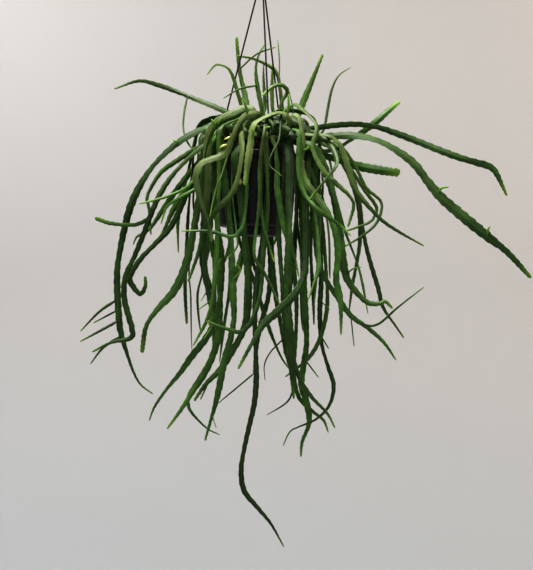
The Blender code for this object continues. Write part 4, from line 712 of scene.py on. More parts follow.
class Plant:
    """Every stem's centre line as one long array of points, with what each point belongs to."""

    def __init__(self):
        self.roots = []
        self.stems = []
        places = []
        luck = random.Random(SEED)
        free = root_places()
        for shoot, listed in enumerate(SHOOTS.values()):
            lines = [self.route_of(entry, luck) for entry in listed]
            wanted = Vector((lines[0][0].x * 0.8, lines[0][0].y * 0.8, 0))
            root = min(free, key=lambda place: (place.xy - wanted.xy).length)
            free.remove(root)
            self.roots.append(root)
            foot = root + Vector((0, 0, ROOT_STANDS * 0.65))
            for entry, line in zip(listed, lines):
                if entry[0] != "side":
                    rise = root + Vector((0, 0, ROOT_STANDS + 0.010))
                    line = [foot, rise, *over_the_rim(line[0]), *line]
                    foot = foot + Vector((0.0005, -0.0004, 0.0009))
                    parent = len(self.stems)
                curve = curve_through(line, SAMPLE_STEP)
                first = sum(len(part) for part in places)
                self.stems.append({"shoot": shoot, "kind": entry[0], "width": 0.001 * entry[1],
                                   "ids": np.arange(first, first + len(curve)), "parent": parent,
                                   "luck": luck.random()})
                places.append(curve)
        self.start = np.concatenate(places)
        self.place = self.start.copy()
        self.measure()

    def route_of(self, entry, luck):
        kind, _, numbers, pixels = entry
        if kind == "back":
            return falling_route(*numbers, luck)
        return photo_route(numbers, pixels)

    def measure(self):
        """Work out for each point its stem, half width, how freely it moves, and its neighbours."""
        total = len(self.place)
        self.shoot, self.stem = np.zeros((2, total), int)
        self.gone, self.half, self.thick = np.zeros((3, total))
        self.freedom = np.ones(total)
        self.before, self.after = np.tile(np.arange(total), (2, 1))
        self.joins = []
        for number, entry in enumerate(self.stems):
            ids = entry["ids"]
            gone = np.arange(len(ids)) * SAMPLE_STEP
            left = gone[-1] - gone
            self.shoot[ids] = entry["shoot"]
            self.stem[ids] = number
            self.gone[ids] = gone
            self.before[ids[1:]] = ids[:-1]
            self.after[ids[:-1]] = ids[1:]
            self.half[ids] = half_width(entry, gone, left)
            self.thick[ids] = half_thickness(entry, left)
            if entry["kind"] == "side":
                owners = self.stems[entry["parent"]]["ids"]
                near = owners[np.argmin(np.linalg.norm(self.start[owners] - self.start[ids[0]], axis=1))]
                self.joins.append((ids[0], near))
            else:
                self.freedom[ids] = np.clip((gone - 0.010) / 0.02, 0, 1)

    def axes(self):
        """Each point's direction along its stem, across its width, and out of its flat face."""
        along = unit(self.place[self.after] - self.place[self.before])
        crown = np.clip((self.place[:, 2] - RIM_Z) / 0.08, 0, 1)
        face = np.stack([np.zeros(len(along)), -np.ones(len(along)), 1.1 * crown], axis=1)
        for entry in self.stems:
            if entry["kind"] == "back":
                face[entry["ids"], :2] = self.place[entry["ids"], :2]
                face[entry["ids"], 2] = 0.03
        face = square_to(face, along)
        for _ in range(3):
            face = square_to(face + 0.5 * (face[self.before] + face[self.after]), along)
        across = np.cross(along, face)
        for entry in self.stems:
            ids = entry["ids"]
            turn = 0.45 * np.sin(self.gone[ids] / 0.07 + 6.28 * entry["luck"])
            across[ids], face[ids] = turned_by(turn[:, None], across[ids], face[ids])
        return along, across, face

    def near_pairs(self):
        """Pairs of close points of different stems, but not where two stems of one shoot leave each other."""
        first, second = close_pairs(self.place, NEAR_POINTS, self.stem)
        clear = np.minimum(self.gone[first], self.gone[second]) > PARTING_LENGTH
        kept = clear | (self.shoot[first] != self.shoot[second])
        return first[kept], second[kept]

    def untangle(self):
        """Bend the stems of different shoots clear of each other, the pot, the soil and the strands."""
        for turn in range(UNTANGLE_TURNS):
            if turn % LOOK_AGAIN == 0:
                axes = self.axes()
                first, second = self.near_pairs()
            move = self.push_apart(first, second, axes)
            move += self.push_off_strands(axes[0])
            self.place += move * self.freedom[:, None]
            self.place += self.push_out_of_pot() * (self.freedom > 0)[:, None]
            self.keep_joined()
            shift = self.place - self.start
            easy = 0.5 * (shift[self.before] + shift[self.after]) - shift
            self.place += EASE_BACK * easy * self.freedom[:, None]
        self.choose_rings()
        for turn in range(SETTLE_TURNS):
            if turn % LOOK_AGAIN == 0:
                axes = self.axes()
                one, other = self.near_chords()
            sums = np.zeros_like(self.place)
            weights = np.full(len(self.place), 1e-9)
            self.part_chords(one, other, axes, sums, weights)
            move = self.push_off_strands(axes[0])
            move += self.push_out_of_pot() * (self.freedom > 0.3)[:, None]
            pushed = np.linalg.norm(move, axis=1) > 1e-7
            for ring, share in ((self.ring_before, 1 - self.share), (self.ring_after, self.share)):
                gather(sums, weights, ring, share * pushed, move)
            self.place += sums / weights[:, None] * self.freedom[:, None]
            start, end = self.place[self.ring_before], self.place[self.ring_after]
            self.place = start + (end - start) * self.share[:, None]
            self.keep_joined()

    def keep_joined(self):
        """Keep side shoots on their stems, and round every place so that each run gives the same plant."""
        for child, owner in self.joins:
            self.place[child] = self.place[owner]
        self.place = np.round(self.place, 8)

    def choose_rings(self):
        """Choose the points that get a ring, and note where each other point lies between two of them."""
        total = len(self.place)
        self.ring_before, self.ring_after = np.tile(np.arange(total), (2, 1))
        self.share = np.zeros(total)
        chords = []
        for entry in self.stems:
            entry["rings"] = ring_places(self, entry)
            for start, end in zip(entry["rings"], entry["rings"][1:]):
                chords.append((start, end))
                inner = np.arange(start, end)
                self.ring_before[inner] = start
                self.ring_after[inner] = end
                self.share[inner] = (inner - start) / (end - start)
        self.chords = np.array(chords)

    def near_chords(self):
        """Pairs of straight lengths of different stems that are close, but not where a shoot's stems part."""
        start, end = self.chords.T
        middle = (self.place[start] + self.place[end]) / 2
        one, other = close_pairs(middle, NEAR_CHORDS, self.stem[start])
        apart, along_one, along_other = self.apart(one, other)
        gone_one = self.gone[start[one]] + along_one * (self.gone[end[one]] - self.gone[start[one]])
        gone_other = self.gone[start[other]] + along_other * (self.gone[end[other]] - self.gone[start[other]])
        clear = np.minimum(gone_one, gone_other) > PARTING_LENGTH
        clear |= self.shoot[start[one]] != self.shoot[start[other]]
        kept = clear & (np.linalg.norm(apart, axis=1) < CHORD_GAP)
        return one[kept], other[kept]

    def apart(self, one, other):
        """From each pair's second length to its first where they are closest, and how far along that is."""
        start, end = self.place[self.chords[:, 0]], self.place[self.chords[:, 1]]
        way_one, way_other = end[one] - start[one], end[other] - start[other]
        gap = start[one] - start[other]
        long_one, long_other = dot(way_one, way_one), dot(way_other, way_other)
        turned_with = dot(way_one, way_other)
        slant = np.maximum(long_one * long_other - turned_with ** 2, 1e-14)
        reach_one, reach_other = dot(way_one, gap), dot(way_other, gap)
        along_one = np.clip((turned_with * reach_other - long_other * reach_one) / slant, 0, 1)
        along_other = np.clip((turned_with * along_one + reach_other) / long_other, 0, 1)
        along_one = np.clip((turned_with * along_other - reach_one) / long_one, 0, 1)
        apart = gap + way_one * along_one[:, None] - way_other * along_other[:, None]
        return apart, along_one, along_other

    def part_chords(self, one, other, axes, sums, weights):
        """Add up how the rings must move to part the pairs of straight lengths that come too close."""
        apart, along_one, along_other = self.apart(one, other)
        distance, way = length_and_way(apart)
        need = SPARE_ROOM + self.chord_reach(one, along_one, way, axes)
        need = need + self.chord_reach(other, along_other, way, axes)
        push = np.minimum(np.maximum(need - distance, 0) * 0.6, 0.002)
        used = push > 0
        for chords, share, sign in ((one, along_one, 1), (other, along_other, -1)):
            moves = way[used] * (sign * push[used])[:, None]
            gather(sums, weights, self.chords[chords[used], 0], 1 - share[used], moves)
            gather(sums, weights, self.chords[chords[used], 1], share[used], moves)

    def chord_reach(self, chords, share, way, axes):
        """How far a straight length reaches in this direction, at this share of its way along."""
        _, across, face = axes
        reach = 0
        for end, part in ((0, 1 - share), (1, share)):
            ids = self.chords[chords, end]
            wide = np.abs(dot(way, across[ids])) * self.half[ids] * (1 + CRENATION)
            reach = reach + part * np.maximum(wide, np.abs(dot(way, face[ids])) * self.thick[ids])
        return reach

    def push_apart(self, first, second, axes):
        """Push close points of different stems apart, mostly in depth so that the picture keeps its lines."""
        distance, way = length_and_way(self.place[first] - self.place[second])
        need = self.reach_toward(first, way, axes) + self.reach_toward(second, way, axes) + SPARE_ROOM
        crown = np.clip((self.place[first, 2] - RIM_Z) / 0.03, 0, 1)[:, None]
        lean = way * ((1 - crown) * (0.4, 1.0, 0.4) + crown * (0.7, 0.7, 1.0))
        lean[:, 1] += np.where(way[:, 1] >= 0, 0.15, -0.15)
        push = np.maximum(need - distance, 0)[:, None] * unit(lean) * 0.5
        share = self.freedom[first] / np.maximum(self.freedom[first] + self.freedom[second], 1e-6)
        move = np.zeros_like(self.place)
        np.add.at(move, first, push * share[:, None])
        np.add.at(move, second, -push * (1 - share)[:, None])
        return np.clip(move, -0.003, 0.003)

    def reach_toward(self, ids, way, axes):
        """How far a short length of stem reaches in this direction."""
        along, across, face = axes
        return (np.abs(dot(way, across[ids])) * self.half[ids] + np.abs(dot(way, face[ids])) * self.thick[ids]
                + np.abs(dot(way, along[ids])) * SAMPLE_STEP * 0.6)

    def push_off_strands(self, along):
        """Push each point that passes close to a strand square to both the strand and its own stem."""
        move = np.zeros_like(self.place)
        for angle in STRAND_ANGLES:
            low, high = (np.array(end) for end in strand_ends(angle))
            length = np.linalg.norm(high - low)
            up = (high - low) / length
            from_low = self.place - low
            off = from_low - np.clip(from_low @ up, 0, length)[:, None] * up
            distance, straight = length_and_way(off)
            slant, square = length_and_way(np.cross(along, up))
            way = np.where(slant[:, None] > 0.35, square, straight)
            away = dot(off, way)
            need = self.half + STRAND_RADIUS + STRAND_CLEARANCE
            short = np.where(distance < need + 0.008, np.maximum(need - np.abs(away), 0), 0)
            move += (short * np.where(away < 0, -0.5, 0.5))[:, None] * way
        return move

    def push_out_of_pot(self):
        """Lift each point that is in the soil or rim, and push out each that is in the wall or saucer."""
        flat = np.linalg.norm(self.place[:, :2], axis=1)
        height = self.place[:, 2]
        room = self.half + POT_CLEARANCE
        top = np.where(flat < WALL_TOP_RADIUS - POT_WALL, soil_height(flat), RIM_Z)
        top = np.maximum(top, np.where(flat > WALL_TOP_RADIUS - RIM_SHELF, RIM_Z, -9))
        down = np.clip((RIM_Z - LIP_HEIGHT - 0.004 - height) / 0.01, 0, 1)
        edge = RIM_RADIUS + 0.0005 - down * (RIM_RADIUS - WALL_TOP_RADIUS)
        edge = np.where(height < POT_BOTTOM_Z - room, SAUCER_RADIUS, edge)
        inside = (flat < edge + room) & (height < top + room) & (height > SAUCER_BOTTOM_Z - room)
        up = top + room - height
        out = edge + room - flat
        lift = inside & ((up < out) | (flat < WALL_TOP_RADIUS - RIM_SHELF)) & (up < 0.06)
        move = np.zeros_like(self.place)
        move[:, 2] = np.where(lift, np.minimum(up, 0.004), 0)
        spread = inside & ~lift
        move[:, :2] = np.where(spread, np.minimum(out, 0.006), 0)[:, None] * self.place[:, :2] / flat[:, None]
        return move


def fine_line(plant, entry, axes):
    """The stem's smooth line: its points, how far along the samples each lies, and its directions there."""
    rings = entry["rings"]
    place = plant.place[rings]
    ends = np.vstack([place[0] * 2 - place[1], place, place[-1] * 2 - place[-2]])
    marks = []
    points = []
    for number, (start, end) in enumerate(zip(rings, rings[1:])):
        four = ends[number:number + 4]
        pieces = max(2, round(float(np.linalg.norm(four[2] - four[1])) / FINE_STEP))
        t = (np.arange(pieces) / pieces)[:, None]
        points.append(between(*four, t))
        marks.append(start + (end - start) * t[:, 0])
    points = np.vstack([*points, place[-1:]])
    marks = np.concatenate([*marks, [rings[-1]]])
    gone = np.concatenate([[0], np.cumsum(np.linalg.norm(np.diff(points, axis=0), axis=1))])
    rounding = TIP_ROUNDING * (1 - np.sin(np.linspace(0, np.pi / 2, TIP_STEPS)))
    wanted = np.concatenate([gone[:-2], gone[-1] - rounding])
    wanted = np.unique(np.round(np.maximum(wanted, 0), 6))
    points = at_marks(wanted, gone, points)
    marks = np.interp(wanted, gone, marks)
    along = unit(np.gradient(points, axis=0))
    face = square_to(at_marks(marks, np.arange(len(plant.place)), axes[2]), along)
    return points, marks, wanted, np.cross(along, face), face


def teeth(left, width):
    """Where each point lies between two notches of its edge, from 0 on a notch to 1 just before the next."""
    near_tip = 0.0065 + 0.0095 * np.clip(left / 0.09, 0, 1)
    pace = near_tip * (0.72 + 0.28 * min(1, width / 0.012))
    steps = -np.diff(left, append=left[-1]) / pace
    return np.cumsum(steps[::-1])[::-1]


def lobe(phase):
    """How far the edge bulges: it steps out behind a notch and eases in slowly toward the stem's foot."""
    part = phase % 1.0
    return np.minimum(part / 0.13, 1) * (1 - 0.92 * part ** 1.4)


def raw_tube(shape, rings, sides):
    """Add a straight closed prism to the shape, and return its corners with their ring and side numbers."""
    for known in shape.verts:
        known.tag = True
    ends = bmesh.ops.create_cone(shape, cap_ends=True, segments=sides, radius1=1, radius2=1, depth=1)["verts"]
    low = [vert for vert in ends if vert.co.z < 0]
    upright = [edge for vert in low for edge in vert.link_edges if edge.other_vert(vert).co.z > 0]
    bmesh.ops.subdivide_edges(shape, edges=upright, cuts=rings - 2)
    corners = [corner for corner in shape.verts if not corner.tag]
    places = np.array([corner.co[:] for corner in corners])
    ring = np.rint((places[:, 2] + 0.5) * (rings - 1)).astype(int)
    turn = np.arctan2(places[:, 1], places[:, 0]) / (2 * np.pi) * sides
    return corners, ring, np.rint(turn).astype(int) % sides


def move_to(corners, places):
    for corner, place in zip(corners, places):
        corner.co = place


def section(sides):
    """A keeled lens: how far across and how far out of the face each side's corner lies."""
    quarter = WIDE_SECTION if sides == WIDE_SIDES else THIN_SECTION
    front = quarter + [(-across, out) for across, out in quarter[-2::-1]]
    return np.array(front + [(across, -out) for across, out in front[-2:0:-1]])


def lay_tube(shape, facts, sides, points, across, face, wide_left, wide_right, deep, values):
    """Lay a closed tube with the keeled section along a line, and note its corners' values."""
    corners, ring, number = raw_tube(shape, len(points), sides)
    shares = section(sides)[number]
    wide = np.where(shares[:, 0] > 0, wide_right[ring], wide_left[ring]) * shares[:, 0]
    out = deep[ring] * shares[:, 1]
    move_to(corners, points[ring] - across[ring] * wide[:, None] + face[ring] * out[:, None])
    note(facts, corners, "across", shares[:, 0])
    for name, value in values.items():
        note(facts, corners, name, value[ring] if np.ndim(value) else value)


def lay_round(shape, points, radii, sides):
    """A round tube along a line of points, its radius given at each."""
    points = np.array(points)
    corners, ring, number = raw_tube(shape, len(points), sides)
    along = unit(np.gradient(points, axis=0))
    one = square_to(np.tile((0.31, 0.87, 0.38), (len(points), 1)), along)
    other = np.cross(along, one)
    turn = (number * 2 * np.pi / sides)[:, None]
    radii = (np.zeros(len(points)) + radii)[ring][:, None]
    move_to(corners, points[ring] + (one[ring] * np.cos(turn) + other[ring] * np.sin(turn)) * radii)


def spin_profile(shape, profile, steps, weld):
    """Turn a line of radii and heights once round the upright axis, and close its seam and poles."""
    verts = [shape.verts.new((radius, 0, height)) for radius, height in profile]
    edges = [shape.edges.new(pair) for pair in zip(verts, verts[1:])]
    bmesh.ops.spin(shape, geom=verts + edges, cent=(0, 0, 0), axis=(0, 0, 1), angle=math.tau, steps=steps,
                   use_merge=True)
    bmesh.ops.remove_doubles(shape, verts=shape.verts, dist=weld)


def new_shape(names=FACTS):
    """An empty shape with one layer for each value that its material reads."""
    shape = bmesh.new()
    return shape, {name: shape.verts.layers.float.new(name) for name in names}


def note(facts, corners, name, value):
    """Keep a value, one number or one for each corner, in the corners' layer of this name."""
    layer = facts[name]
    for corner, number in zip(corners, (np.zeros(len(corners)) + value).tolist()):
        corner[layer] = number


def place_object(name, data):
    made = bpy.data.objects.new(name, data)
    bpy.context.scene.collection.objects.link(made)
    return made


def smooth_object(name, shape, paint):
    """Turn the shape into an object of this material, with smooth faces."""
    mesh = bpy.data.meshes.new(name)
    shape.to_mesh(mesh)
    shape.free()
    for face in mesh.polygons:
        face.use_smooth = True
    mesh.materials.append(paint)
    return place_object(name, mesh)


def finished(name, shape, paint, node):
    """Make the shape a piece that rides on the object, in place of its node where it has one."""
    piece = smooth_object(name, shape, paint)
    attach(piece, "root")
    if node:
        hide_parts(node)


def fine_half_width(entry, gone, left, key):
    """Half the stem's width: joints broad in the middle and narrow where they meet, a foot and a tip."""
    usual = (0.24 + 0.2 * entry["luck"], 0.03 + 3.5 * entry["width"] + 0.03 * entry["luck"])
    blunt, taper = TIPS.get(key, usual)
    near_foot, near_tip = BREADTHS.get(key, (1, 1))
    foot = np.clip(0.5 + 0.5 * gone / 0.055, 0, 1)
    if entry["kind"] == "side":
        foot = np.clip(0.5 + gone / 0.03, 0, 1)
    tip = np.clip(blunt + (1 - blunt) * left / taper, 0, 1)
    tip = tip * (near_foot + (near_tip - near_foot) * gone / gone[-1])
    beat = np.abs(np.cos(np.pi * (gone / JOINT_LENGTH + entry["luck"])))
    joint = 1 - JOINT_WAIST * (1 - beat ** 0.7) * np.clip(left / 0.05, 0, 1)
    return np.maximum(0.5 * entry["width"] * WIDTH_SEEN * foot * tip * joint, LEAST_HALF)


def lay_stem(shape, facts, plant, entry, axes, name, number):
    """One jointed, keeled stem with its notched edges, as fine as it needs for the eye."""
    key = f"{name} {number}"
    olive, fresh, shade = LOOKS.get(key, LOOKS.get(name, PLAIN))
    points, marks, gone, across, face = fine_line(plant, entry, axes)
    left = gone[-1] - gone
    wide = entry["width"] > THIN_STEM
    half = fine_half_width(entry, gone, left, key)
    deep = np.interp(marks, np.arange(len(plant.place)), plant.thick) * KEEL_PROUD
    tip = np.sqrt(np.clip(1 - (1 - np.clip(left / TIP_ROUNDING, 0, 1)) ** 2, 0.004, 1))
    woody = np.clip(1 - gone / WOODY_LENGTH, 0, 1) * (entry["kind"] != "side")
    deep = deep * (1 - woody) + np.maximum(deep, half * 0.75) * woody

    # Notches stand opposite each other's lobes on the two edges, and deepen toward the tip
    phase = teeth(left, entry["width"]) + entry["luck"]
    depth = (NOTCH_DEPTH if wide else NOTCH_DEPTH * 0.5) * (1 - woody)
    depth = depth * (1 + 1.2 * np.clip(1 - left / 0.05, 0, 1))
    edges = [half * tip * (1 + depth * (1.35 * lobe(phase + offset) - 0.7)) for offset in EDGE_OFFSETS]

    # A slow twist of its own, and the roll that the photograph shows
    turn = EXTRA_TURN * np.clip(gone / 0.12, 0, 1) * np.sin(gone / 0.031 + 11.0 * entry["luck"])
    roll = ROLLED.get(key, (0, 0))
    turn += np.interp(gone / gone[-1], np.linspace(0, 1, len(roll)), roll) * np.clip(gone / 0.05, 0, 1)
    across, face = turned_by(turn[:, None], across, face)
    # Olive, faded in toward the crown: partly the stem's own olive tint, partly painted light from above
    olive_and_painted_top_light = olive * np.clip((points[:, 2] - RIM_Z + 0.13) / 0.12, 0, 1)
    values = {"from_foot": gone, "to_tip": left, "luck": entry["luck"], "olive": olive_and_painted_top_light, "fresh": fresh,
              "shade": shade, "woody": woody}
    sides = WIDE_SIDES if wide else THIN_SIDES
    lay_tube(shape, facts, sides, points, across, face, *edges, deep * tip ** 0.7, values)
    if wide:
        add_areoles(shape, facts, points, across, edges, phase, values)


def add_areoles(shape, facts, points, across, edges, phase, values):
    """A small pale tuft in each notch of both edges."""
    for edge, offset, sign in zip(edges, EDGE_OFFSETS, (1, -1)):
        for at in np.nonzero(np.diff(np.floor(phase + offset)))[0]:
            if values["from_foot"][at] < AREOLES_FROM or values["to_tip"][at] < 0.003:
                continue
            middle = points[at] + across[at] * sign * edge[at] * 0.93
            tuft = bmesh.ops.create_cone(shape, cap_ends=True, segments=5, radius1=AREOLE_RADIUS,
                                         radius2=AREOLE_RADIUS / 2.75, depth=AREOLE_RADIUS * 2)["verts"]
            out = Vector(across[at] * sign).to_track_quat("Z", "Y").to_matrix().to_4x4()
            bmesh.ops.transform(shape, matrix=Matrix.Translation(Vector(middle)) @ out, verts=tuft)
            note(facts, tuft, "felt", 1.0)
            note(facts, tuft, "luck", values["luck"])


def dress_shoots(plant, paint):
    axes = plant.axes()
    for number, name in enumerate(SHOOTS):
        shape, facts = new_shape()
        for count, entry in enumerate(entry for entry in plant.stems if entry["shoot"] == number):
            lay_stem(shape, facts, plant, entry, axes, name, count)
        add_foot(shape, facts, plant.roots[number])
        finished("stems_" + name, shape, paint, name)


def add_foot(shape, facts, root):
    """The round woody foot that stands in its hole in the soil."""
    height = ROOT_DEPTH + ROOT_STANDS
    foot = bmesh.ops.create_cone(shape, cap_ends=True, segments=12, radius1=ROOT_RADIUS * 0.9,
                                 radius2=ROOT_RADIUS * 0.55, depth=height)["verts"]
    bmesh.ops.translate(shape, vec=root + Vector((0, 0, ROOT_STANDS - height / 2)), verts=foot)
    note(facts, foot, "woody", 1.0)
    note(facts, foot, "across", 0.5)


def nearest_stem(plant, pixel):
    """The point of the nearest stem to the viewer that passes this pixel."""
    far, near = (np.array(seen_at(pixel, toward)) for toward in (-0.10, 0.12))
    ray = near - far
    share = np.clip((plant.place - far) @ ray / (ray @ ray), 0, 1)
    off = np.linalg.norm(plant.place - far - share[:, None] * ray, axis=1) - plant.half
    score = np.maximum(off, -0.002) * 8 + plant.place[:, 1]
    return int(np.argmin(np.where(off < 0.008, score, 99)))


def add_growth(name, plant, route, paint, radius, outline, fresh, flat):
    """A small growth that starts on the stem at the route's first photo pixel and follows the others."""
    at = nearest_stem(plant, route[0])
    base = plant.place[at]
    toward = -base[1] + plant.thick[at]
    line = [Vector(base)]
    for number, pixel in enumerate(route[1:], 1):
        line.append(seen_at(pixel, toward + 0.002 + 0.003 * number / (len(route) - 1)))
    points = curve_through(line, 0.0009)
    share = np.linspace(0, 1, len(points))
    along = unit(np.gradient(points, axis=0))
    front = square_to(np.tile((0.0, -1.0, 0.3), (len(points), 1)), along)
    size = radius * np.interp(share, *zip(*outline))
    shape, facts = new_shape()
    gone = share * 0.02
    values = {"from_foot": gone + 0.2, "to_tip": 0.02 - gone, "luck": 0.37, "fresh": fresh}
    lay_tube(shape, facts, THIN_SIDES, points, np.cross(along, front), front, size, size, size * flat, values)
    finished(name, shape, paint, None)


def add_all_growth(plant, skin, tender):
    """Buds, sprouts and pale tips: for each kind its paint, radius, outline, freshness and flatness."""
    for kind, routes, *form in (("cream_bud", BUDS, tender, 0.0024, BUD_OUTLINE, 1.5, 0.9),
                                ("sprout", SPROUTS, skin, 0.0021, SPROUT_OUTLINE, 0.9, 0.7),
                                ("pale_tip", PALE_TIPS, tender, 0.0042, SPROUT_OUTLINE, 1.5, 0.7)):
        for number, route in enumerate(routes, 1):
            add_growth(f"{kind}_{number}", plant, route, *form)


def lumpy_mound(shape):
    """The soil's surface, a fine disc lifted to the mound and roughened, closed below to the pot's floor."""
    edge = inner_wall(SOIL_EDGE_Z) - GAP
    floor = POT_BOTTOM_Z + POT_WALL + GAP
    radii = [edge * step / MOUND_RINGS for step in range(MOUND_RINGS + 1)]
    profile = [(radius, soil_height(radius)) for radius in radii]
    profile += [(WALL_BOTTOM_RADIUS - 0.0013, POT_BOTTOM_Z + 0.0100), (WALL_BOTTOM_RADIUS - 0.0077, floor),
                (PEG_HOLLOW_RADIUS, floor), (PEG_HOLLOW_RADIUS, floor + PEG_HOLLOW_HEIGHT),
                (0, floor + PEG_HOLLOW_HEIGHT)]
    spin_profile(shape, profile, MOUND_SIDES, 0.00002)
    bmesh.ops.recalc_face_normals(shape, faces=shape.faces)
    for corner in shape.verts:
        if corner.co.z > SOIL_EDGE_Z - 0.001:
            ease = min(1, (edge - math.hypot(corner.co.x, corner.co.y)) / 0.006)
            lump = 0.0024 * noise.noise(corner.co * 95) + 0.0015 * noise.noise(corner.co * 260)
            corner.co.z += ease * (lump + 0.0008 * noise.noise(corner.co * 700))


def dress_soil(paint):
    """The mound with crumbs and pale perlite grains on it."""
    shape, facts = new_shape(["perlite"])
    lumpy_mound(shape)
    luck = random.Random(SEED + 1)
    edge = inner_wall(SOIL_EDGE_Z) - 0.004
    for number in range(CRUMBS):
        radius = edge * math.sqrt(luck.random())
        turn = luck.uniform(0, math.tau)
        size = luck.uniform(0.0008, 0.0024)
        perlite = number % 11 == 0
        place = (radius * math.cos(turn), radius * math.sin(turn), soil_height(radius) + size * 0.35)
        if perlite:
            size *= 0.75
        crumb = bmesh.ops.create_icosphere(shape, subdivisions=1, radius=size)["verts"]
        for corner in crumb:
            corner.co *= luck.uniform(0.72, 1.2)
        bmesh.ops.translate(shape, vec=place, verts=crumb)
        note(facts, crumb, "perlite", float(perlite))
    finished("soil_mound", shape, paint, "soil")


def dress_roots(paint):
    """Thin wiry roots that lie over the mound between the shoots' feet."""
    luck = random.Random(SEED + 2)
    shape = bmesh.new()
    edge = inner_wall(SOIL_EDGE_Z) - 0.005
    for _ in range(SURFACE_ROOTS):
        turn = luck.uniform(0, math.tau)
        radius = edge * math.sqrt(luck.uniform(0.02, 0.9))
        heading = luck.uniform(0, math.tau)
        line = []
        for step in range(7):
            x = radius * math.cos(turn) + ROOT_STRIDE * step * math.cos(heading)
            y = radius * math.sin(turn) + ROOT_STRIDE * step * math.sin(heading)
            heading += luck.uniform(-0.5, 0.5)
            flat = math.hypot(x, y)
            if flat > edge:
                break
            line.append(Vector((x, y, soil_height(flat) + (0.0022 if 0 < step < 6 else -0.001))))
        if len(line) > 3:
            lay_round(shape, curve_through(line, 0.0015), luck.uniform(0.00035, 0.0008), 6)
    finished("surface_roots", shape, paint, None)


def smooth_copy(node, name, paint, sharp=32):
    """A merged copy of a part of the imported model, shaded smooth with its true corners kept sharp."""
    shape = bmesh.new()
    shape.from_mesh(frame["nodes"][node].data)
    bmesh.ops.remove_doubles(shape, verts=shape.verts, dist=0.000002)
    for edge in shape.edges:
        edge.smooth = not (len(edge.link_faces) == 2 and edge.calc_face_angle(0) > math.radians(sharp))
    finished(name, shape, paint, node)


def dress_hook(paint):
    """The moulded hook: a round rod bent to an open mouth and down into its hub, which has rounded rims."""
    shape = bmesh.new()
    radius = HOOK_MOUTH_RADIUS + HOOK_ROD_RADIUS
    arc = [Vector((radius * math.cos(way), 0, radius * math.sin(way) - HOOK_MOUTH_RADIUS))
           for way in map(math.radians, range(215, -36, -6))]
    line = curve_through([*arc, Vector((0.0050, 0, -0.0272)), Vector((0.0012, 0, -0.0315)),
                          Vector((0, 0, HUB_Z + 0.006))], 0.0014)
    radii = HOOK_ROD_RADIUS * np.interp(np.linspace(0, 1, len(line)), (0, 0.02, 0.05), (0.45, 0.85, 1.0))
    lay_round(shape, line, radii, 20)
    hub = bmesh.ops.create_cone(shape, cap_ends=True, segments=48, radius1=HUB_RADIUS,
                                radius2=HUB_RADIUS * 0.62, depth=HUB_LENGTH)["verts"]
    bmesh.ops.translate(shape, vec=(0, 0, HUB_Z + 0.003), verts=hub)
    rims = [edge for edge in {edge for vert in hub for edge in vert.link_edges}
            if abs(edge.verts[0].co.z - edge.verts[1].co.z) < 0.0001]
    bmesh.ops.bevel(shape, geom=rims, offset=0.0010, offset_type="OFFSET", segments=3, profile=0.5,
                    affect="EDGES", material=-1)
    for edge in shape.edges:
        edge.smooth = edge.calc_face_angle(0) < math.radians(50)
    finished("hook_and_hub", shape, paint, "hook")


def dress_strands(paint):
    """Three straight moulded strands, each in its socket."""
    for number, angle in enumerate(STRAND_ANGLES, 1):
        low, high = strand_ends(angle)
        low = low + (high - low).normalized() * STRAND_SEAT_RISE
        shape = bmesh.new()
        lay_round(shape, [low.lerp(high, step / 24) for step in range(25)], STRAND_RADIUS, 12)
        finished(f"strand_rod_{number}", shape, paint, f"strand_{number}")


def linear(hex_colour):
    """An sRGB hex value as the linear colour that a shader takes."""
    parts = [int(hex_colour[i:i + 2], 16) / 255 for i in (1, 3, 5)]
    return (*[part / 12.92 if part <= 0.04045 else ((part + 0.055) / 1.055) ** 2.4 for part in parts], 1.0)


def add_node(tree, kind, links, out=0, **settings):
    """Add a node and give back one of its outputs: links gives each input a value or a node's output."""
    made = tree.nodes.new("ShaderNode" + kind)
    for name, value in settings.items():
        setattr(made, name, value)
    for socket, value in links.items():
        if isinstance(value, bpy.types.NodeSocket):
            tree.links.new(value, made.inputs[socket])
        else:
            made.inputs[socket].default_value = value
    return made.outputs[out]


def new_paint(name, **constants):
    """A material with its tree, its shader and the object's coordinates, the shader's own sockets set."""
    paint = bpy.data.materials.new(name)
    paint.use_nodes = True
    tree = paint.node_tree
    shader = tree.nodes["Principled BSDF"]
    for socket, value in constants.items():
        shader.inputs[socket].default_value = value
    return paint, tree, shader, add_node(tree, "TexCoord", {}, "Object")


def feed(tree, shader, outputs):
    """Link each output to the shader's socket of that name."""
    for socket, output in outputs.items():
        tree.links.new(output, shader.inputs[socket])


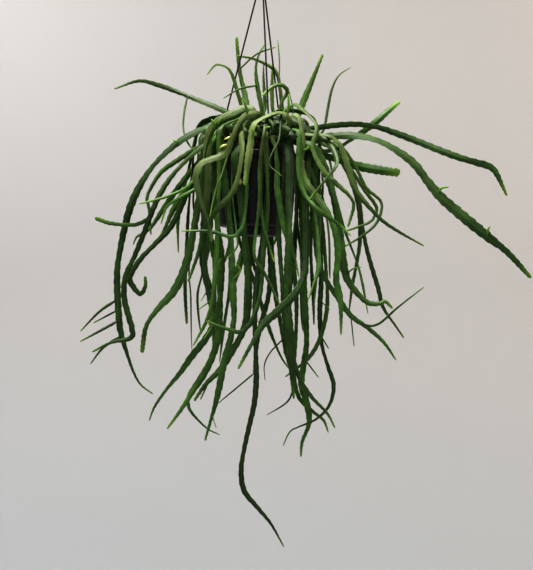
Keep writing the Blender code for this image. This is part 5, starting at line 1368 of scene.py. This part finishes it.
def waxy_stem_skin():
    """Living cactus skin: thin wax over green flesh gives soft gloss, a paler midrib and a light margin."""
    paint, tree, shader, place = new_paint("waxy_cactus_stem_skin", IOR=1.45)
    fact = {name: add_node(tree, "Attribute", {}, "Fac", attribute_name=name) for name in FACTS}

    # Clouding 20 mm across between two greens
    clouds = add_node(tree, "TexNoise", {"Vector": place, "Scale": 48.0, "Detail": 3.0})
    share = add_node(tree, "MapRange", {0: clouds, 1: 0.35, 2: 0.65})
    green = add_node(tree, "Mix", {0: share, 6: linear("#2a4b1c"), 7: linear("#4a732e")}, **COLOUR)

    # Each stem its own depth of green, some olive, partly their own tint and partly painted light from above
    # that grows toward the crown, and some fresh
    share = add_node(tree, "MapRange", {0: fact["luck"], 1: 0.1, 2: 0.9, 3: 0.0, 4: 0.85})
    green = add_node(tree, "Mix", {0: share, 6: green, 7: linear("#182c10")}, **COLOUR)
    share = add_node(tree, "MapRange", {0: clouds, 1: 0.3, 2: 0.7})
    olive = add_node(tree, "Mix", {0: share, 6: linear("#5f6c3c"), 7: linear("#818d56")}, **COLOUR)
    green = add_node(tree, "Mix", {0: fact["olive"], 6: green, 7: olive}, **COLOUR)
    share = add_node(tree, "Math", {0: fact["fresh"], 1: 0.75}, operation="MULTIPLY")
    green = add_node(tree, "Mix", {0: share, 6: green, 7: linear("#4f7f24")}, **COLOUR)

    # Streaks 0.6 mm wide and some 15 mm long run along the stem, at a place of its own for each stem
    where = [add_node(tree, "Math", {0: fact[name], 1: scale}, operation="MULTIPLY")
             for name, scale in (("across", 9.0), ("from_foot", 70.0), ("luck", 57.0))]
    where = add_node(tree, "CombineXYZ", dict(enumerate(where)))
    streaks = add_node(tree, "TexNoise", {"Vector": where, "Scale": 1.0, "Detail": 2.0})

    # Pale streaks, dark streaks, the paler midrib, and the thin light line of the margin
    wide = add_node(tree, "Math", {0: fact["across"]}, operation="ABSOLUTE")
    for source, start, end, most, tint in (
            (streaks, 0.52, 0.74, 0.2, "#7b8f48"), (streaks, 0.44, 0.28, 0.3, "#12240b"),
            (wide, 0.16, 0.0, 0.3, "#62803a"), (wide, 0.86, 1.0, 0.4, "#7f9246")):
        share = add_node(tree, "MapRange", {0: source, 1: start, 2: end, 3: 0.0, 4: most})
        green = add_node(tree, "Mix", {0: share, 6: green, 7: linear(tint)}, **COLOUR)

    # Painted shade darkens some stems, most near the foot under the crown, and new skin at a tip is yellow
    # green
    painted_shade_share = add_node(tree, "MapRange", {0: fact["from_foot"], 1: 0.16, 2: 0.34, 3: 0.8, 4: 0.3})
    new = add_node(tree, "MapRange", {0: fact["to_tip"], 1: 0.028, 2: 0.0, 3: 0.0, 4: 0.75})
    least = add_node(tree, "MapRange", {0: fact["fresh"], 1: 0.0, 2: 0.6, 3: 0.55, 4: 1.0})
    for share, factor, tint in ((painted_shade_share, fact["shade"], "#0d1f08"), (new, least, "#80a838")):
        share = add_node(tree, "Math", {0: share, 1: factor}, operation="MULTIPLY")
        green = add_node(tree, "Mix", {0: share, 6: green, 7: linear(tint)}, **COLOUR)

    # The oldest skin at the foot is corky brown, the areoles are felted
    cork = add_node(tree, "TexNoise", {"Vector": place, "Scale": 260.0, "Detail": 3.0})
    brown = add_node(tree, "Mix", {0: cork, 6: linear("#4b3a28"), 7: linear("#8b7757")}, **COLOUR)
    for share, tint in ((fact["woody"], brown), (fact["felt"], linear("#a9a67a"))):
        green = add_node(tree, "Mix", {0: share, 6: green, 7: tint}, **COLOUR)
    rough = add_node(tree, "MapRange", {0: clouds, 1: 0.3, 2: 0.7, 3: 0.5, 4: 0.64})
    rough = add_node(tree, "Mix", {0: fact["woody"], 2: rough, 3: 0.85}, data_type="FLOAT")

    # Fine pores 0.7 mm apart and the streaks' low ridges
    pores = add_node(tree, "TexNoise", {"Vector": place, "Scale": 1400.0, "Detail": 2.0})
    ridges = add_node(tree, "Math", {0: streaks, 1: 0.6}, operation="MULTIPLY")
    relief = add_node(tree, "Math", {0: pores, 1: 0.3, 2: ridges}, operation="MULTIPLY_ADD")
    bump = add_node(tree, "Bump", {"Height": relief, "Strength": 0.55, "Distance": 0.0004})
    feed(tree, shader, {"Base Color": green, "Roughness": rough, "Normal": bump})
    return paint


def tender_growth():
    """Unhardened new tissue: pale cream to yellow green, soft and faintly glossy."""
    paint, tree, shader, place = new_paint("pale_new_plant_tissue", Roughness=0.45, IOR=1.42)
    left = add_node(tree, "Attribute", {}, "Fac", attribute_name="to_tip")
    spots = add_node(tree, "TexNoise", {"Vector": place, "Scale": 900.0, "Detail": 2.0})
    cream = add_node(tree, "Mix", {0: spots, 6: linear("#d8d890"), 7: linear("#b4bb60")}, **COLOUR)
    share = add_node(tree, "MapRange", {0: left, 1: 0.010, 2: 0.019})
    cream = add_node(tree, "Mix", {0: share, 6: cream, 7: linear("#7c9a40")}, **COLOUR)
    bump = add_node(tree, "Bump", {"Height": spots, "Strength": 0.3, "Distance": 0.0002})
    feed(tree, shader, {"Base Color": cream, "Normal": bump})
    return paint


def wiry_root():
    """Thin dry roots: dull brown bark, mottled darker."""
    paint, tree, shader, place = new_paint("dry_wiry_root", Roughness=0.8, IOR=1.5)
    bark = add_node(tree, "TexNoise", {"Vector": place, "Scale": 700.0, "Detail": 3.0})
    brown = add_node(tree, "Mix", {0: bark, 6: linear("#2f2116"), 7: linear("#8a6d4b")}, **COLOUR)
    bump = add_node(tree, "Bump", {"Height": bark, "Strength": 0.6, "Distance": 0.0002})
    feed(tree, shader, {"Base Color": brown, "Normal": bump})
    return paint


def damp_peat():
    """Damp peat with white perlite: nearly black crumbs, matt, with pale porous grains."""
    paint, tree, shader, place = new_paint("damp_peat_and_perlite", Roughness=0.95, IOR=1.4)
    perlite = add_node(tree, "Attribute", {}, "Fac", attribute_name="perlite")
    lumps = add_node(tree, "TexNoise", {"Vector": place, "Scale": 380.0, "Detail": 5.0})
    grit = add_node(tree, "TexVoronoi", {"Vector": place, "Scale": 850.0})
    share = add_node(tree, "MapRange", {0: lumps, 1: 0.3, 2: 0.7})
    earth = add_node(tree, "Mix", {0: share, 6: linear("#140e0a"), 7: linear("#3c2c20")}, **COLOUR)
    share = add_node(tree, "MapRange", {0: grit, 1: 0.25, 2: 0.05, 3: 0.0, 4: 0.4})
    earth = add_node(tree, "Mix", {0: share, 6: earth, 7: linear("#6d5740")}, **COLOUR)
    white = add_node(tree, "Mix", {0: lumps, 6: linear("#b9b4a8"), 7: linear("#e9e6dd")}, **COLOUR)
    earth = add_node(tree, "Mix", {0: perlite, 6: earth, 7: white}, **COLOUR)
    height = add_node(tree, "Math", {0: lumps, 1: grit}, operation="ADD")
    bump = add_node(tree, "Bump", {"Height": height, "Strength": 0.9, "Distance": 0.0012})
    feed(tree, shader, {"Base Color": earth, "Normal": bump})
    return paint


def moulded_black(name, dust):
    """Black polypropylene as moulded: satin grain, scuffs, and a little dust on faces that look up."""
    paint, tree, shader, place = new_paint(name, IOR=1.49)
    grain = add_node(tree, "TexNoise", {"Vector": place, "Scale": 1600.0, "Detail": 2.0})
    scuffs = add_node(tree, "TexNoise", {"Vector": place, "Scale": 90.0, "Detail": 5.0})
    share = add_node(tree, "MapRange", {0: scuffs, 1: 0.45, 2: 0.75})
    black = add_node(tree, "Mix", {0: share, 6: linear("#0a0a0b"), 7: linear("#1c1c1d")}, **COLOUR)
    normal = add_node(tree, "NewGeometry", {}, "Normal")
    up = add_node(tree, "SeparateXYZ", {0: normal}, "Z")
    up = add_node(tree, "MapRange", {0: up, 1: 0.4, 2: 1.0, 3: 0.0, 4: dust})
    share = add_node(tree, "MapRange", {0: scuffs, 1: 0.35, 2: 0.6})
    share = add_node(tree, "Math", {0: up, 1: share}, operation="MULTIPLY")
    dusty = add_node(tree, "Mix", {0: share, 6: black, 7: linear("#7d766a")}, **COLOUR)
    rough = add_node(tree, "MapRange", {0: scuffs, 1: 0.3, 2: 0.7, 3: 0.34, 4: 0.52})
    bump = add_node(tree, "Bump", {"Height": grain, "Strength": 0.25, "Distance": 0.0002})
    feed(tree, shader, {"Base Color": dusty, "Roughness": rough, "Normal": bump})
    return paint


def studio_wall():
    """Matt pale paint on the studio's wall and floor: broad faint clouds, and painted shade that greys it
    toward the floor where the light falls off.
    """
    paint, tree, shader, place = new_paint("matt_wall_paint", Roughness=0.9)
    cloud = add_node(tree, "TexNoise", {"Vector": place, "Scale": 0.6, "Detail": 2.0})
    pale = add_node(tree, "Mix", {0: cloud, 6: linear("#bfbebd"), 7: linear("#c6c5c4")}, **COLOUR)
    # Painted shade: greyer toward the floor, where the light falls off
    height = add_node(tree, "SeparateXYZ", {0: place}, "Z")
    low = add_node(tree, "MapRange", {0: height, 1: -0.8, 2: -2.0})
    pale = add_node(tree, "Mix", {0: low, 6: pale, 7: linear("#babdbf")}, **COLOUR)
    feed(tree, shader, {"Base Color": pale})
    return paint


def build_studio():
    """A wide pale bowl: the floor far below, rising to a wall far behind on every side, open above."""
    profile = [(0, FLOOR_Z), (FLOOR_RADIUS, FLOOR_Z)]
    for way in map(math.radians, range(10, 91, 10)):
        out, up = BEND_RADIUS * math.sin(way), BEND_RADIUS * (1 - math.cos(way))
        profile.append((FLOOR_RADIUS + out, FLOOR_Z + up))
    profile.append((FLOOR_RADIUS + BEND_RADIUS, FLOOR_Z + WALL_HEIGHT))
    shape = bmesh.new()
    spin_profile(shape, profile, BOWL_SIDES, 0.0001)
    smooth_object("studio_bowl", shape, studio_wall())


def add_lamp(name, place, aim, size, power, colour):
    """A round soft lamp that looks from its place to its aim."""
    data = bpy.data.lights.new(name, "AREA")
    data.shape = "DISK"
    data.size = size
    data.energy = power
    data.color = colour
    lamp = place_object(name, data)
    lamp.location = place
    lamp.rotation_euler = (Vector(aim) - Vector(place)).to_track_quat("-Z", "Y").to_euler()


def light_studio():
    """Soft light from above, weak fills round the plant, and a cool and a warm wash on the wall behind."""
    world = bpy.data.worlds.new("studio air")
    bpy.context.scene.world = world
    world.use_nodes = True
    air = world.node_tree.nodes["Background"]
    air.inputs["Color"].default_value = linear("#eef0f2")
    air.inputs["Strength"].default_value = 0.27
    add_lamp("overhead softbox", (-0.4, -0.5, 2.3), (0, 0, -0.4), 1.5, 146, (1.0, 0.99, 0.975))
    add_lamp("left fill", (-3.2, -2.0, 0.4), (0, 0, -0.5), 1.6, 9, (0.97, 0.985, 1.0))
    add_lamp("right fill", (3.0, -1.6, -0.1), (0, 0, -0.5), 1.2, 6, (1.0, 0.98, 0.96))
    add_lamp("low front fill", (0.5, -3.0, -1.1), (0, 0, -0.85), 1.2, 5, (1.0, 1.0, 1.0))
    add_lamp("wall wash", (-2.2, 1.8, 2.6), (-2.4, 5.0, 1.9), 1.4, 69, (0.98, 0.985, 1.0))
    add_lamp("warm wall wash", (2.6, 1.2, 2.2), (2.6, 5.0, 0.2), 1.5, 45, (1.0, 0.80, 0.60))


def place_camera():
    """The photograph's view: level, straight on, from 1.7 m away, leaning as the photograph does."""
    data = bpy.data.cameras.new("photo camera")
    data.sensor_fit = "VERTICAL"
    data.sensor_height = SENSOR_MM
    data.lens = SENSOR_MM * CAMERA_AWAY / (PHOTO_HEIGHT * METRES_PER_PIXEL)
    data.clip_start = 0.05
    data.clip_end = 60.0
    camera = place_object("photo camera", data)
    centre = seen_at(PHOTO_CENTRE, 0.0)
    camera.location = (centre.x, -CAMERA_AWAY, centre.z)
    camera.rotation_euler = (math.pi / 2, -PHOTO_LEAN, 0)
    bpy.context.scene.camera = camera
    bpy.context.scene.view_settings.view_transform = "Standard"
    bpy.context.scene.view_settings.look = "High Contrast"


def main():
    place_camera()
    build_studio()
    light_studio()
    skin = waxy_stem_skin()
    plant = Plant()
    plant.untangle()
    dress_shoots(plant, skin)
    add_all_growth(plant, skin, tender_growth())
    dress_soil(damp_peat())
    dress_roots(wiry_root())
    pot_paint = moulded_black("moulded_black_polypropylene_pot", 0.35)
    smooth_copy("pot", "nursery_pot", pot_paint)
    smooth_copy("saucer", "drip_saucer", pot_paint)
    hanger_paint = moulded_black("moulded_black_polypropylene_hanger", 0.2)
    dress_hook(hanger_paint)
    dress_strands(hanger_paint)


main()
